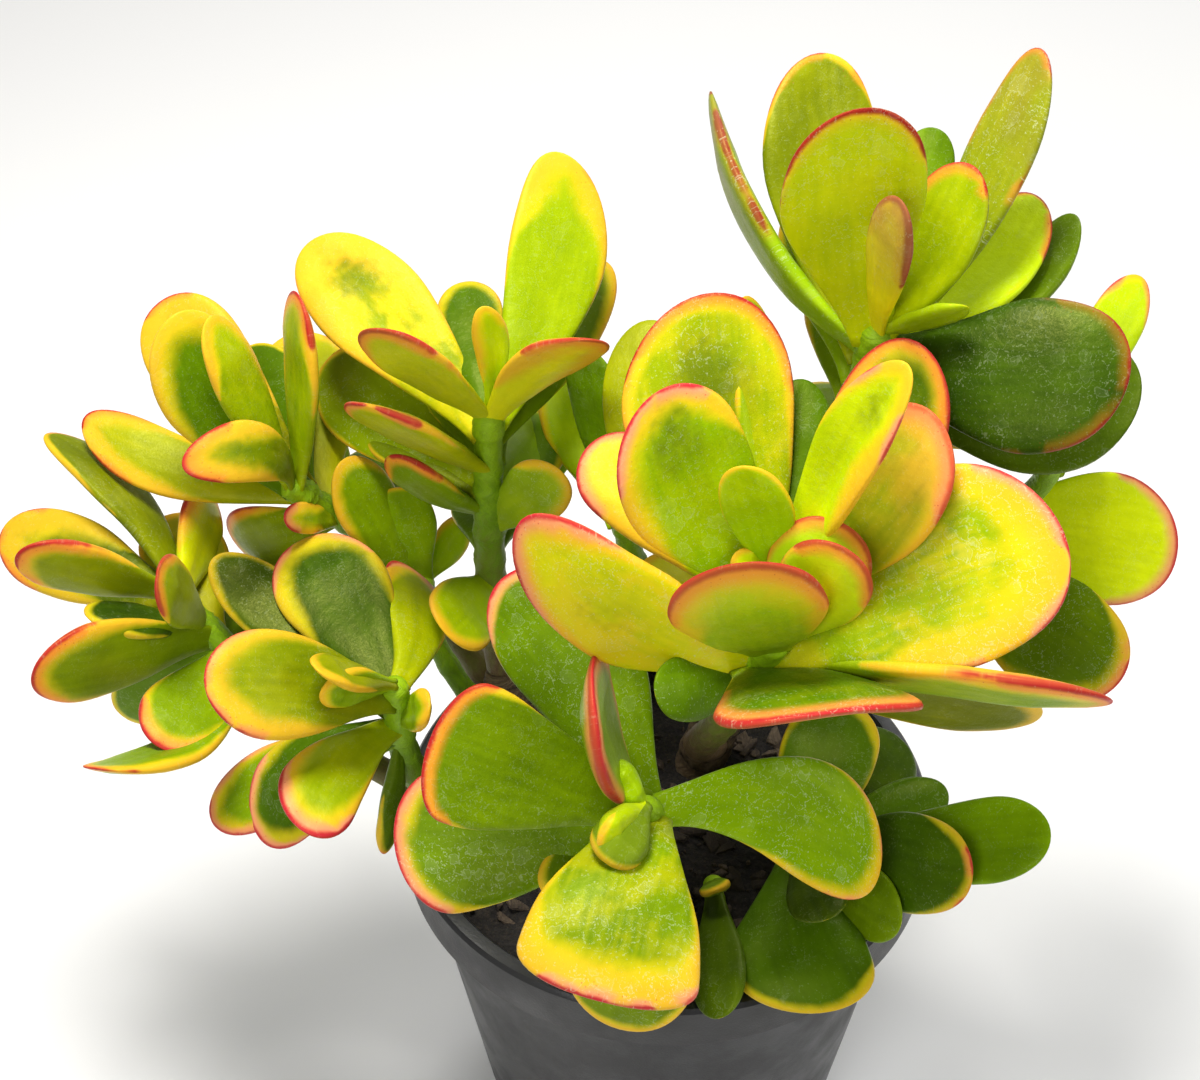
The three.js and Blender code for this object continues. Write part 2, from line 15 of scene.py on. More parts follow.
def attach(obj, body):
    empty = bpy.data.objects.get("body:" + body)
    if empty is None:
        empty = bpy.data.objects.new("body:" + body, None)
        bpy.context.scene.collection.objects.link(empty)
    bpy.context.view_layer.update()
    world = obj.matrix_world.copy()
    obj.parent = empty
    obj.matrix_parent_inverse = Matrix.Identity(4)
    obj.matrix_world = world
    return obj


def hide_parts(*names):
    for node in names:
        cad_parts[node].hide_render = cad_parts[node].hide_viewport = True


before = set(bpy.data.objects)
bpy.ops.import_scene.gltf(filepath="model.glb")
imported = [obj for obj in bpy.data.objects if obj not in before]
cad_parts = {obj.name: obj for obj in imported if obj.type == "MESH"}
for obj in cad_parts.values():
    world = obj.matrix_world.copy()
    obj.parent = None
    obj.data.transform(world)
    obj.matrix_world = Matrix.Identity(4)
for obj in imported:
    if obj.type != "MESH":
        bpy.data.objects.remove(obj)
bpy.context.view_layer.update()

MM = 0.001
SEED = 7

# The estimated viewpoint of the picture, and the camera's sensor in millimetres
TARGET = np.array([-17.0, 22.0, 183.0])
ELEVATION = math.radians(42)
DISTANCE = 600.0
FOCAL = 2450.0
PICTURE = (1200, 1080)
SENSOR = 36.0
NEAREST_SEEN = 0.01

# Each studio light's place and size in metres, its power in watts and its colour
LIGHTS = {
    "key": ((-0.12, 0.05, 0.95), 0.3, 8.5, (1.0, 0.98, 0.94)),
    "front": ((-0.35, -0.85, 0.8), 0.5, 4.5, (1, 1, 1)),
    "fill": ((0.85, -0.3, 0.85), 0.5, 4.5, (1, 1, 1)),
    "back": ((0.3, 0.9, 0.9), 0.6, 4.0, (1, 1, 1)),
}
SKY_LIGHT = 0.15
FLOOR_REACH = 4.0

# Pot and soil
POT_HEIGHT = 113.0
POT_TOP_RADIUS = 65.0
POT_BASE_RADIUS = 47.0
POT_WALL = 2.4
RIM_HEIGHT = 14.0
RIM_OUT = 2.5
RIM_ROLL = 1.2
RIM_EASE = 0.9
FOOT_ROUND = 3.0
FLOOR_EYE = 0.5
POT_ROUNDING = 0.5
POT_SIDES = 192
DRAIN_HOLES = 6
DRAIN_RADIUS = 5.0
DRAIN_RING = 34.0
DRAIN_SIDES = 24
SOIL_TOP = 103.0
SOIL_FLOOR = 2.7
SOIL_BUMP = 1.6
SOIL_LUMP = 1.3
SOIL_CRUMB = 0.45
SOIL_SINK = 3.0
SOIL_GAP = 0.5
SOIL_FLOOR_GAP = 0.6
SOIL_SIDES = 150
SOIL_RINGS = 58
CHIP_SEED = SEED + 100
CHIPS = 520
BIG_CHIPS = 230
BIG_CHIP_SIZES = ((3, 2, 0.8), (10, 5.5, 2.2))
GRIT_SIZES = (0.5, 1.7)
CHIP_SIDES = 7
CHIP_TILT = 0.22
CHIP_LEVELS = ((0.0, 0.8), (0.25, 1.0), (0.75, 0.95), (1.0, 0.7))
TRUNK_CLEARANCE = 7.5
WALL_CLEARANCE = 1.5

# Leaf shape
LEAF_THICKNESS = 5.4
PETIOLE_WIDTH = 0.32
WIDEST_AT = 0.66
BASE_STATIONS = 15
TIP_STATIONS = 15
SECTION_SIDES = 32
EDGE_ROUND = 0.6
CREASE_DEPTH = 0.28
DENT_DEPTH = 0.22
RIM_SAMPLES = (40, 50)
DRIFTS = ((0.07, 2, 0.0), (0.12, 3, 40.0), (0.10, 3, 80.0))
DRIFT_REACH = 0.36
FOOT_PALER = 0.12
DARK_LENGTH = 0.17
DARK_WIDTH = 0.5
SLOW_RIPPLE = 0.014
FINE_RIPPLE = 0.01

# Stem shape
STEM_SIDES = 24
STEM_STEP = 0.8
BARK_ROUGH = 0.09
STEM_ROUGH = 0.025
RING_WIDTH = 1.5
RING_SWELL = 0.4
RING_GROOVE = 0.28
SCAR_STEP = 10.5
TRUNK_RING_STEP = 7.5

SIGHT = np.array([0.0, math.cos(ELEVATION), -math.sin(ELEVATION)])
PICTURE_UP = np.array([0.0, math.sin(ELEVATION), math.cos(ELEVATION)])
EYE = TARGET - SIGHT * DISTANCE


@dataclass
class Stem:
    """A stem's centreline from its foot to its growing tip, and its radius at each end."""

    points: list
    radii: tuple


# What a kind of leaf looks like: tone runs from dark green at -1 to pale lime at 1, gold is the
# width of the yellow margin to the left, to the right and at the tip, rim is the width of the
# red edge, pink its hue from brown-red at -1 to pink at 1, stain dried water marks, blot soft
# yellow mottling.
# The dark kinds shade and deep stand partly for leaves that lie in shade, so their dark tones are partly
# painted shade.
LOOKS = {
    "lime": dict(tone=0.5, gold=(0.5, 0.5, 1.5), rim=0.5, pink=0.0, stain=0.25, blot=0.0),
    "sun": dict(tone=0.25, gold=(2.5, 2.5, 4.5), rim=0.8, pink=0.3, stain=0.3, blot=0.1),
    "golden": dict(tone=0.5, gold=(7, 7, 12), rim=0.8, pink=0.4, stain=0.3, blot=0.4),
    "mid": dict(tone=0.0, gold=(1.5, 1.5, 3), rim=0.7, pink=0.2, stain=0.3, blot=0.0),
    "shade": dict(tone=-0.4, gold=(0.5, 0.5, 1.5), rim=0.5, pink=0.2, stain=0.35, blot=0.0),
    "deep": dict(tone=-0.8, gold=(0, 0, 0), rim=0.2, pink=0.0, stain=0.3, blot=0.0),
}


# A leaf's shape words: branch is the stem it grows on, turn its roll in degrees, under shows its
# underside, away aims it away from the camera, azimuth and pitch aim a leaf without a tip, bow,
# side and cup bend it by millimetres, fold raises both halves, widest is the share of its length
# where it is widest, thick its thickness. Its other words: blush is a red flush, bare where its
# margin begins, dark a dark patch's strength, place and offset, warm how far its green leans to red.
SHAPE_WORDS = dict(
    branch=0, turn=0, under=False, away=False, bow=0, side=0, cup=0, fold=0, blush=0,
    widest=WIDEST_AT, thick=None, azimuth=0, pitch=0, bare=0.34, dark=(0, 0.6, 0), warm=0.2,
)


def margins(gold):
    """A margin's widths left, right and at the tip, given as one width, sides and tip, or all."""
    if not isinstance(gold, tuple):
        return gold, gold, gold
    return gold if len(gold) == 3 else (gold[0], *gold)


class Leaf:
    """A leaf's size, aim and look. The shape words are those of the plant's solids."""

    def __init__(self, down, tip, length, width, look, **words):
        self.down = down
        self.tip = tip
        self.length = length
        self.width = width
        for key, value in {**SHAPE_WORDS, **LOOKS[look], **words}.items():
            setattr(self, key, value)
        self.gold = margins(self.gold)


def far(*size, **words):
    """A leaf that points away from the camera."""
    return Leaf(*size, away=True, **words)


def behind(down, azimuth, pitch, length, width, look="mid", **words):
    """A leaf aimed by its heading in degrees, because the picture doesn't show its tip."""
    return Leaf(down, None, length, width, look, azimuth=azimuth, pitch=pitch, **words)


@dataclass
class Shoot:
    """One head of the plant: its stems and its leaves."""

    name: str
    stems: list
    leaves: tuple


TRUNKS = {
    "trunk_right": Stem([(8, 26, 72), (10, 23, 103), (17, 19, 133)], (7.2, 6)),
    "trunk_front": Stem([(-6, -12, 76), (-6, -16, 103), (-7, -24, 122)], (6, 5.4)),
    "trunk_left": Stem([(-33, 24, 70), (-36, 25, 103), (-42, 24, 139)], (7.6, 6.4)),
    "trunk_side": Stem([(-43, 1, 74), (-50, -1, 103), (-60, -5, 124)], (6.6, 5.2)),
    "trunk_back": Stem([(9, 40, 74), (10, 43, 103), (12, 44, 129)], (6.4, 5.4)),
}

# For most leaves tone, warm and rim were worked out by a scratch script that compared renders with the
# photo.
# The other words were chosen one by one.
# These fitted tones also paint light and shade: leaves that lie brightly lit or in shade are made lighter
# or darker, besides their own colour.
SHOOTS = []


def add_shoot(name, stems, *leaves):
    SHOOTS.append(Shoot(name, stems, leaves))


add_shoot(
    "top_right", [Stem([(17, 19, 132), (27, 17, 165), (38, 12, 215), (44, 4, 262)], (4.6, 3))],
    far(10, (711, 95), 76, 26, "shade", turn=-80, under=True, side=-7, tone=0.25, gold=0, rim=1.3,
        pink=-0.6, stain=1, warm=0, blush=0.45, bare=0.1),
    far(13, (819, 53), 74, 27, "lime", turn=12, side=-3, bow=-3, cup=2, tone=-0.25, gold=(0, 1.5), rim=1,
        pink=-0.1, warm=0.8),
    Leaf(6, (862, 108), 60, 31, "sun", turn=5, side=-3, cup=2.5, bow=-2, tone=0.75, gold=(0, 2), rim=2,
         pink=-0.4, stain=0.6, bare=0.3),
    Leaf(3, (902, 201), 44, 14, "sun", turn=-48, under=True, side=-1, tone=1, gold=0, rim=2, pink=-0.3,
         blush=0.8, stain=0.5, warm=0.6),
    far(8, (936, 128), 54, 13, "lime", widest=0.8, gold=0, rim=0.3, tone=-0.2, warm=0),
    Leaf(5, (974, 166), 44, 19, "lime", turn=-24, side=2, cup=3, tone=0.25, gold=0, rim=1.3, fold=1.6,
         warm=0.4, pink=0.1, bare=0.4),
    far(8, (1036, 195), 58, 20, "lime", turn=-32, side=6, cup=2, tone=1, gold=0, rim=1.3, pink=0.2,
        bare=0.45, warm=0),
    far(12, (1040, 48), 78, 20, "mid", turn=-46, side=2, bow=-3, tone=0.05, gold=0, rim=0.9, pink=-0.1,
        stain=1, warm=0.5, blush=0.3, bare=0.2),
    far(14, (1074, 214), 64, 18, "shade", turn=-55, side=7, tone=-0.3, gold=0, rim=0.2, pink=0),
    Leaf(10, (1131, 370), 58, 34, "shade", turn=-10, side=3, cup=-1.5, bow=3, tone=-0.9, gold=0, rim=1.2,
         pink=-0.5, warm=0, bare=0.3),
    far(17, (1142, 388), 62, 32, "deep", turn=-14, side=5, tone=-0.65, pink=-0.5),
    Leaf(2, (968, 307), 24, 8, "lime", turn=60, tone=0.4, gold=0, rim=0.1),
    behind(20, 95, 22, 56, 29, rim=0.5),
    behind(30, 85, 14, 44, 24, rim=0.5),
    behind(32, 24, -16, 40, 24),
    behind(44, 95, -12, 38, 23),
)
add_shoot(
    "right_back", [
        Stem([(12, 44, 128), (36, 42, 146), (74, 36, 172), (91, 30, 195), (90, 25, 216)], (4.2, 2.6)),
    ],
    far(4, (1142, 277), 48, 14, "lime", turn=18, tone=0.8, gold=(0, 2), rim=0.9, pink=0.6, warm=0),
    behind(6, 150, 48, 48, 25),
    behind(12, 95, 10, 50, 27),
    behind(18, 76, -16, 44, 25),
    far(50, (1177, 556), 56, 34, "lime", turn=12, side=-3, tone=1, gold=0.5, rim=2, pink=0.8, bare=0.45,
        warm=0.1),
    far(58, (1120, 682), 54, 30, "shade", side=1, tone=-0.35, gold=(0, 3.5, 4), rim=1.2, pink=0.6,
        stain=0.6),
)
add_shoot(
    "middle_right", [
        Stem([(12, 17, 116), (8, -4, 138), (12, -22, 165), (17, -35, 190), (21, -39, 226)], (4.4, 3)),
        Stem([(17, -35, 190), (18, -42, 204), (21, -49, 218)], (3.8, 3)),
    ],
    far(10, (703, 294), 71, 38, "sun", turn=4, side=-4, cup=2, bow=-3, gold=(2, 3, 3.5), rim=1.5, pink=0.1,
        stain=0.9, blot=0.4, dark=(0.9, 0.74, 0), warm=0.4),
    far(14, (749, 296), 74, 22, "lime", turn=58, side=2, tone=0.3, stain=0.6, rim=0.4),
    far(16, (640, 322), 78, 26, "lime", side=-5, tone=-0.05, gold=0, rim=0.3, warm=0.8),
    Leaf(5, (658, 391), 56, 30, "sun", turn=4, side=-4, cup=2.5, tone=0.3, gold=(6, 0, 7), rim=1.3, pink=1,
         stain=0.5, dark=(0.6, 0.82, 0), warm=0),
    far(9, (590, 444), 56, 22, "golden", turn=15, widest=0.76, gold=(8, 4, 9), rim=1.4, pink=0.8),
    far(3, (742, 430), 44, 16, "lime", turn=-15, side=1, gold=(0.5, 1, 1.5), rim=0.2, pink=0.3),
    Leaf(2, (741, 466), 36, 15, "lime", turn=-15, side=1, tone=0.6, gold=(0.5, 1), rim=0.2, warm=0),
    Leaf(0, (733, 556), 14, 7, "lime", tone=0.8, rim=0.1),
    Leaf(4, (908, 364), 64, 17, "lime", turn=-30, cup=4, tone=0.8, gold=(0.5, 9, 4), rim=1.3, pink=0.9,
         fold=2, dark=(0.4, 0.85, 0), warm=0.1),
    far(12, (803, 379), 54, 17, "mid", side=1, tone=-0.5, gold=0, rim=0.2, warm=0),
    far(9, (815, 471), 34, 14, "shade", tone=0.05, gold=0, rim=0.2),
    Leaf(8, (935, 414), 56, 27, "golden", turn=-18, side=3, tone=0.25, gold=(3, 6), rim=2, pink=0.7,
         blush=0.5, warm=0.1),
    Leaf(12, (918, 342), 68, 27, "sun", turn=-12, side=4, tone=-0.65, gold=(3, 3.5, 4.5), rim=1.5, warm=0),
    Leaf(7, (743, 563), 46, 33, "sun", branch=1, turn=-12, under=True, side=-1, bow=-3, tone=0.5,
         gold=(7, 10), rim=2.2, warm=0),
    Leaf(9, (1064, 532), 69, 43, "golden", branch=1, turn=-5, side=-2, cup=2, bow=3, tone=0.25,
         gold=(3, 13, 12), rim=1.3, pink=0.9, stain=0.9, blot=0.6, dark=(0.35, 0.55, 0)),
    Leaf(13, (1113, 701), 76, 26, "sun", branch=1, turn=80, tone=0.15, gold=(4, 6), rim=1.8, pink=0.4,
         bare=0.3),
    far(20, (1040, 718), 68, 24, "mid", branch=1, turn=62, tone=-0.4, gold=(0.5, 3, 3), rim=0.4, warm=1),
    Leaf(18, (848, 712), 50, 45, "sun", branch=1, turn=-60, cup=-3, widest=0.72, tone=-0.4, gold=(1, 2),
         rim=2.4, pink=0.5, stain=0.7, warm=0, bare=0.05),
    Leaf(15, (521, 520), 66, 28, "golden", branch=1, turn=-35, side=-6, widest=0.5, tone=0.75,
         gold=(5, 1.5, 6), rim=1.7, pink=0.8, stain=0.8, blot=0.9, warm=0.5, dark=(0.5, 0.55, 0)),
    Leaf(24, (655, 694), 32, 15, "shade", branch=1, gold=0, rim=0.2, stain=0.7, warm=0),
    Leaf(3, (843, 523), 33, 22, "lime", branch=1, turn=6, under=True, tone=0.65, gold=(1, 2), rim=1.7,
         pink=0.2, warm=0, bare=0.3),
    Leaf(0, (850, 551), 36, 20, "lime", branch=1, turn=6, under=True, tone=1, gold=(1, 2), rim=1.7,
         pink=0.2, warm=0, bare=0.3),
    behind(34, 95, -8, 44, 25),
    behind(28, 48, -10, 44, 25),
    behind(30, 122, 4, 42, 24, tone=1, warm=0.5),
)
add_shoot(
    "front", [Stem([(-7, -24, 121), (-6, -34, 136), (-6, -46, 156), (-7, -60, 177)], (4.6, 3.2))],
    Leaf(8, (429, 741), 54, 32, "mid", turn=-6, cup=2, widest=0.85, tone=-0.2, gold=(0, 1, 2), rim=1.6,
         pink=0.25, bare=0.45),
    far(14, (394, 843), 58, 33, "mid", side=-1, cup=1.5, widest=0.76, tone=-0.25, gold=(1, 2, 4.5),
        rim=1.6, pink=0.9, stain=0.9, bare=0.45, warm=0.1),
    Leaf(5, (592, 666), 42, 30, "mid", turn=74, side=-4, cup=2, tone=0.1, gold=0, rim=2.2, pink=0.6,
         bare=0.05),
    far(14, (509, 573), 66, 31, "mid", turn=-8, side=4, tone=-0.3, gold=(0.5, 0, 2.5), rim=1.8, pink=0.9,
        bare=0.6, stain=0.5, warm=0.1),
    Leaf(-2, (605, 766), 13, 9, "lime", thick=9, tone=0.4, gold=0, rim=0, warm=0),
    Leaf(-3, (606, 862), 19, 13, "lime", thick=8, under=True, tone=-0.35, gold=(0, 1), rim=0.4, pink=0.2,
         bare=0.1, warm=0.3),
    Leaf(-3, (598, 846), 18, 12, "lime", thick=6, turn=-60, gold=(0, 1), bare=0.1, pink=0.4),
    Leaf(8, (598, 1001), 50, 40, "golden", bow=7, cup=-3, widest=0.83, tone=-0.1, gold=(2, 9), rim=1.1,
         pink=0.9, stain=0.9, blot=0.3, dark=(0.3, 0.75, -0.2)),
    far(14, (628, 1031), 56, 32, "mid", turn=6, side=1, tone=-0.2, gold=(0.5, 2), rim=0.3, stain=0.6,
        warm=0.3),
    far(10, (880, 872), 60, 28, "mid", side=-9, widest=0.74, tone=0.1, gold=(0.5, 2, 3.5), rim=0.8,
        stain=1, warm=0, pink=0.7),
    Leaf(20, (541, 890), 30, 13, "shade", gold=(0.5, 2), rim=0.2),
)
add_shoot(
    "left_tall", [Stem([(-42, 24, 138), (-44, 23, 163), (-44, 22, 190), (-43, 21, 225)], (4.4, 3))],
    far(6, (563, 153), 72, 24, "lime", turn=8, side=5.5, bow=-2, cup=1.5, tone=0.3, gold=(2, 3, 9),
        rim=0.7, bare=0.45),
    far(12, (607, 262), 66, 15, "shade", side=1.5, tone=-0.05, gold=(0, 2, 3), rim=1.1, pink=-0.2),
    far(8, (308, 243), 68, 26, "golden", turn=6, side=1, cup=1.5, tone=0.1, gold=(9, 7, 14), rim=0.5,
        pink=0.3, blot=0.9, dark=(0.7, 0.78, 0.2), warm=0.5),
    Leaf(3, (368, 329), 48, 17, "sun", turn=-55, under=True, tone=0.5, gold=(1.5, 3), rim=1.7, warm=0.5,
         pink=0.2),
    far(3, (464, 282), 42, 16, "lime", widest=0.75, tone=-0.55, gold=(1.5, 2.5), rim=0.6,
        dark=(0.5, 0.7, 0), warm=0),
    Leaf(0, (481, 307), 32, 9, "lime", turn=30, side=2, tone=0.7, gold=(3, 1, 2), rim=0.3, warm=0),
    far(5, (422, 319), 38, 9, "lime", rim=1),
    Leaf(6, (601, 341), 50, 16, "sun", turn=48, under=True, side=-4, tone=1, gold=(6, 8), rim=1.2,
         pink=0.1, warm=0.4),
    far(25, (325, 362), 60, 26, "shade", cup=1.5, tone=0, gold=(1, 0.5, 1.5), rim=0.4, stain=0.7,
        warm=0.4),
    Leaf(20, (354, 403), 46, 22, "shade", turn=-76, tone=0.3, gold=(1, 2), rim=1.2, warm=0.6, pink=0.5),
    Leaf(33, (391, 455), 32, 15, "shade", turn=-64, side=-2, tone=-0.1, gold=(1, 2), rim=1.3),
    Leaf(38, (562, 472), 34, 16, "mid", turn=10, under=True, tone=0.15, gold=(0, 3, 3), rim=0.4, pink=0,
         stain=0.5),
    far(30, (557, 422), 44, 20, "shade", tone=0.35, gold=(0.5, 2), rim=0.6, warm=0),
    Leaf(56, (446, 634), 32, 19, "mid", turn=-10, tone=0.35, rim=0.4, pink=0.8),
    behind(18, 100, 2, 50, 27, rim=0.8),
    behind(40, 75, 10, 42, 24, tone=-0.25, warm=0),
    behind(26, 132, 0, 42, 24, "shade", tone=-0.3, warm=0.6),
    behind(48, 92, -10, 34, 20, "shade"),
)
add_shoot(
    "centre_back", [Stem([(7, 47, 112), (0, 42, 136), (-8, 33, 166), (-14, 26, 194)], (3.4, 2.6))],
    Leaf(8, (586, 346), 48, 18, "shade", turn=-48, tone=-0.15, gold=0, rim=0.4, pink=-0.6, warm=0),
    far(8, (624, 362), 46, 18, "mid", turn=20, tone=0.1, gold=0, rim=0.1),
    behind(4, 60, 45, 44, 24),
    behind(14, 108, 26, 48, 25, tone=0.65, warm=0, rim=0.5),
    behind(20, 52, 20, 43, 23, "shade"),
)
add_shoot(
    "back", [Stem([(13, 46, 116), (16, 58, 134), (16, 66, 152), (14, 70, 168)], (3.4, 2.6))],
    behind(2, 100, 58, 30, 16, "lime"),
    behind(2, 290, 80, 21, 13, "lime"),
    behind(6, 20, 26, 40, 22),
    behind(6, 170, 24, 38, 21),
    behind(12, 80, 14, 46, 25, "sun"),
    behind(18, 128, 0, 42, 24),
    behind(18, 36, 2, 42, 24),
    behind(28, 76, -14, 38, 22, "shade"),
)
add_shoot(
    "left_back", [Stem([(-44, 29, 122), (-58, 36, 144), (-76, 36, 172), (-94, 29, 196)], (3.8, 2.8))],
    far(8, (158, 303), 62, 25, "golden", turn=-6, cup=1, widest=0.75, tone=-0.3, gold=(5, 10), rim=1,
        pink=0.2, warm=1),
    Leaf(6, (170, 317), 55, 25, "mid", turn=8, side=-3, tone=-0.2, gold=(3, 5, 6), rim=0.4, warm=0),
    Leaf(3, (207, 319), 50, 18, "sun", turn=50, gold=(0, 3.5, 4), rim=0.4, warm=0.3),
    far(8, (247, 347), 46, 19, "shade", turn=-20, side=2, tone=-0.45, gold=(0.5, 1), rim=0.6, pink=0.4,
        warm=0),
    Leaf(5, (297, 293), 52, 22, "sun", turn=-72, side=1, tone=0.2, gold=(5, 1, 5), rim=1.4, pink=0.2),
    Leaf(3, (182, 462), 38, 15, "sun", turn=10, side=5, bow=7, tone=-0.15, gold=(5, 8), rim=1.5, pink=0.2,
         dark=(0.5, 0.7, 0), warm=0.5),
    far(8, (83, 419), 60, 17, "lime", turn=18, side=-4, tone=0.1, gold=(4, 2, 6), rim=1.2,
        dark=(0.5, 0.5, 0), warm=0.8),
    far(20, (232, 538), 38, 18, "mid", turn=-25, bow=3, tone=-0.05, gold=(1, 3, 3), rim=1.6, warm=0.5),
    Leaf(23, (284, 517), 24, 8, "sun", rim=1.1, pink=0.7),
    behind(14, 100, 22, 50, 26, tone=0.1, warm=0.8),
    behind(24, 120, 8, 42, 24),
    behind(30, 84, -6, 40, 23, "shade"),
)
add_shoot(
    "far_left", [Stem([(-59, -2, 116), (-77, 1, 127), (-102, 6, 152), (-122, 12, 176)], (3.6, 2.8))],
    far(6, (48, 433), 58, 17, "mid", turn=50, side=5, tone=-0.3, gold=(0.5, 1), pink=0.8, warm=0.8),
    far(6, (2, 530), 54, 22, "golden", turn=8, tone=-0.6, gold=(5, 6, 10), rim=1.2, blot=0.3,
        dark=(0.6, 0.75, 0), warm=0.5),
    Leaf(2, (18, 552), 44, 17, "mid", turn=-45, tone=0.05, gold=(1, 2.5, 4), rim=1.5, pink=0.4, warm=0.6),
    Leaf(13, (87, 617), 36, 15, "shade", turn=60, tone=-0.9, warm=0.1, rim=0.6),
    Leaf(17, (32, 673), 54, 23, "mid", turn=-42, tone=-0.1, gold=(2, 3, 4.5), rim=1.4, warm=0.4),
    far(20, (120, 714), 40, 18, "shade", turn=-20, tone=-0.25, warm=0),
    Leaf(13, (157, 573), 36, 16, "mid", turn=42, under=True, tone=0.05, gold=(0, 2, 3), rim=1.3, warm=0.6,
         pink=0.3),
    far(4, (211, 492), 36, 17, "sun", turn=50, gold=(6, 0, 4), rim=1.5, tone=0.6, warm=0.4),
    Leaf(22, (160, 748), 36, 21, "mid", turn=10, tone=0.05, gold=(2, 1.5, 4), rim=1.8, pink=0.5),
    Leaf(26, (88, 768), 54, 20, "mid", turn=62, side=-9, tone=0.05, gold=(2, 3), rim=0.9),
    behind(16, 112, 10, 40, 22, tone=0.15, warm=1),
    behind(26, 86, -8, 36, 21, "shade"),
)
add_shoot(
    "lower_left", [Stem([(-61, -5, 123), (-64, -12, 140), (-65, -18, 158), (-65, -22, 178)], (4, 2.8))],
    far(7, (299, 541), 52, 27, "mid", turn=6, side=1, cup=1.5, tone=-0.9, gold=(4, 3.5, 5.5), rim=1.2,
        pink=0.8, warm=0),
    far(4, (402, 563), 42, 17, "mid", turn=28, side=4.5, tone=0.35, gold=(0, 3, 4), rim=1.8, pink=0.8,
        warm=0.5),
    Leaf(6, (204, 680), 50, 26, "sun", turn=15, bow=2, tone=-0.2, gold=(5.5, 3.5, 7), rim=1, warm=0.6,
         pink=0.6),
    Leaf(1, (314, 667), 30, 12, "lime", turn=60, tone=-0.05, gold=(1, 2), rim=0.4, warm=0.8),
    Leaf(1, (322, 689), 26, 11, "lime", turn=-40, tone=0.2, gold=(1, 2), rim=0.6, warm=0.1),
    Leaf(18, (301, 830), 42, 20, "lime", turn=12, side=3.5, widest=0.74, tone=0.25, gold=(2, 3.5, 5),
         rim=1.8, pink=0.9, warm=0.4),
    far(20, (257, 835), 46, 23, "shade", turn=14, side=4, tone=-0.7, gold=(2, 3, 4), rim=1.6, pink=0.9,
        warm=0),
    far(22, (210, 817), 56, 20, "mid", turn=20, side=1, tone=-0.1, gold=(3, 4), rim=1.3, pink=0.8),
    Leaf(17, (430, 704), 22, 10, "mid", turn=-30, tone=0.1, gold=(1, 3), rim=0.6),
    far(22, (386, 853), 38, 9, "shade", turn=-55, rim=0.6),
    far(14, (214, 557), 62, 18, "shade", turn=20, tone=-0.9, gold=(1, 2), stain=0.5, warm=0.4, rim=0.3),
)
add_shoot(
    "inner_left", [Stem([(-44, 23, 116), (-53, 22, 133), (-60, 26, 148), (-62, 31, 163)], (3, 2.4))],
    Leaf(6, (341, 461), 44, 18, "shade", turn=25, tone=-0.05, gold=(2.5, 1, 3), rim=0.3),
    Leaf(3, (386, 490), 28, 19, "mid", tone=0.1, gold=(0.5, 1), rim=0.4, warm=0.1),
    far(2, (466, 520), 22, 10, "mid", turn=30, tone=0.6, warm=0, rim=0.6),
)
# The very dark tones of this low shoot are partly painted shade, for the shade under the leaves above.
add_shoot(
    "low_right", [Stem([(34, -12, 76), (34, -16, 103), (33, -22, 116), (32, -28, 126)], (3.6, 2.8))],
    Leaf(5, (973, 874), 52, 24, "shade", turn=6, side=-1, tone=-0.7, gold=(0, 0.5, 2), rim=0.9, pink=0.5,
         warm=0),
    Leaf(8, (1051, 836), 68, 21, "mid", turn=-15, widest=0.76, tone=-0.05, gold=0, rim=0.1, warm=0),
    far(4, (900, 738), 50, 24, "shade", tone=-0.85, gold=0, rim=0.1),
    far(8, (948, 792), 42, 16, "shade", turn=20, tone=-0.55, gold=0, rim=0.1, warm=0),
    Leaf(6, (828, 1012), 46, 34, "deep", side=5, tone=-0.6, gold=(0, 1.5, 2), warm=0),
    Leaf(3, (826, 920), 32, 15, "deep", tone=-0.85, warm=0.4),
    Leaf(6, (901, 925), 38, 18, "deep", turn=30, tone=-0.1),
    behind(12, 72, 22, 44, 25, tone=-0.5, warm=0, rim=0.5),
)
# The very dark tones of this low shoot are partly painted shade, for the shade under the leaves above.
add_shoot(
    "low_front", [Stem([(12, -24, 78), (12, -26, 103), (11, -31, 117)], (2.6, 2.2))],
    Leaf(3, (721, 1018), 44, 14, "deep", turn=20, tone=-0.7, warm=0.3),
    Leaf(1, (716, 890), 16, 8, "shade", tone=-0.2, rim=0.3),
)


def unit(vector):
    return vector / np.linalg.norm(vector)


def angles(sides):
    """Evenly spaced angles of a full turn."""
    return np.arange(sides) / sides * 2 * math.pi


def smooth(value, low, high):
    """0 below low, 1 above high, and a smooth step between them."""
    share = np.clip((value - low) / (high - low), 0, 1)
    return share * share * (3 - 2 * share)


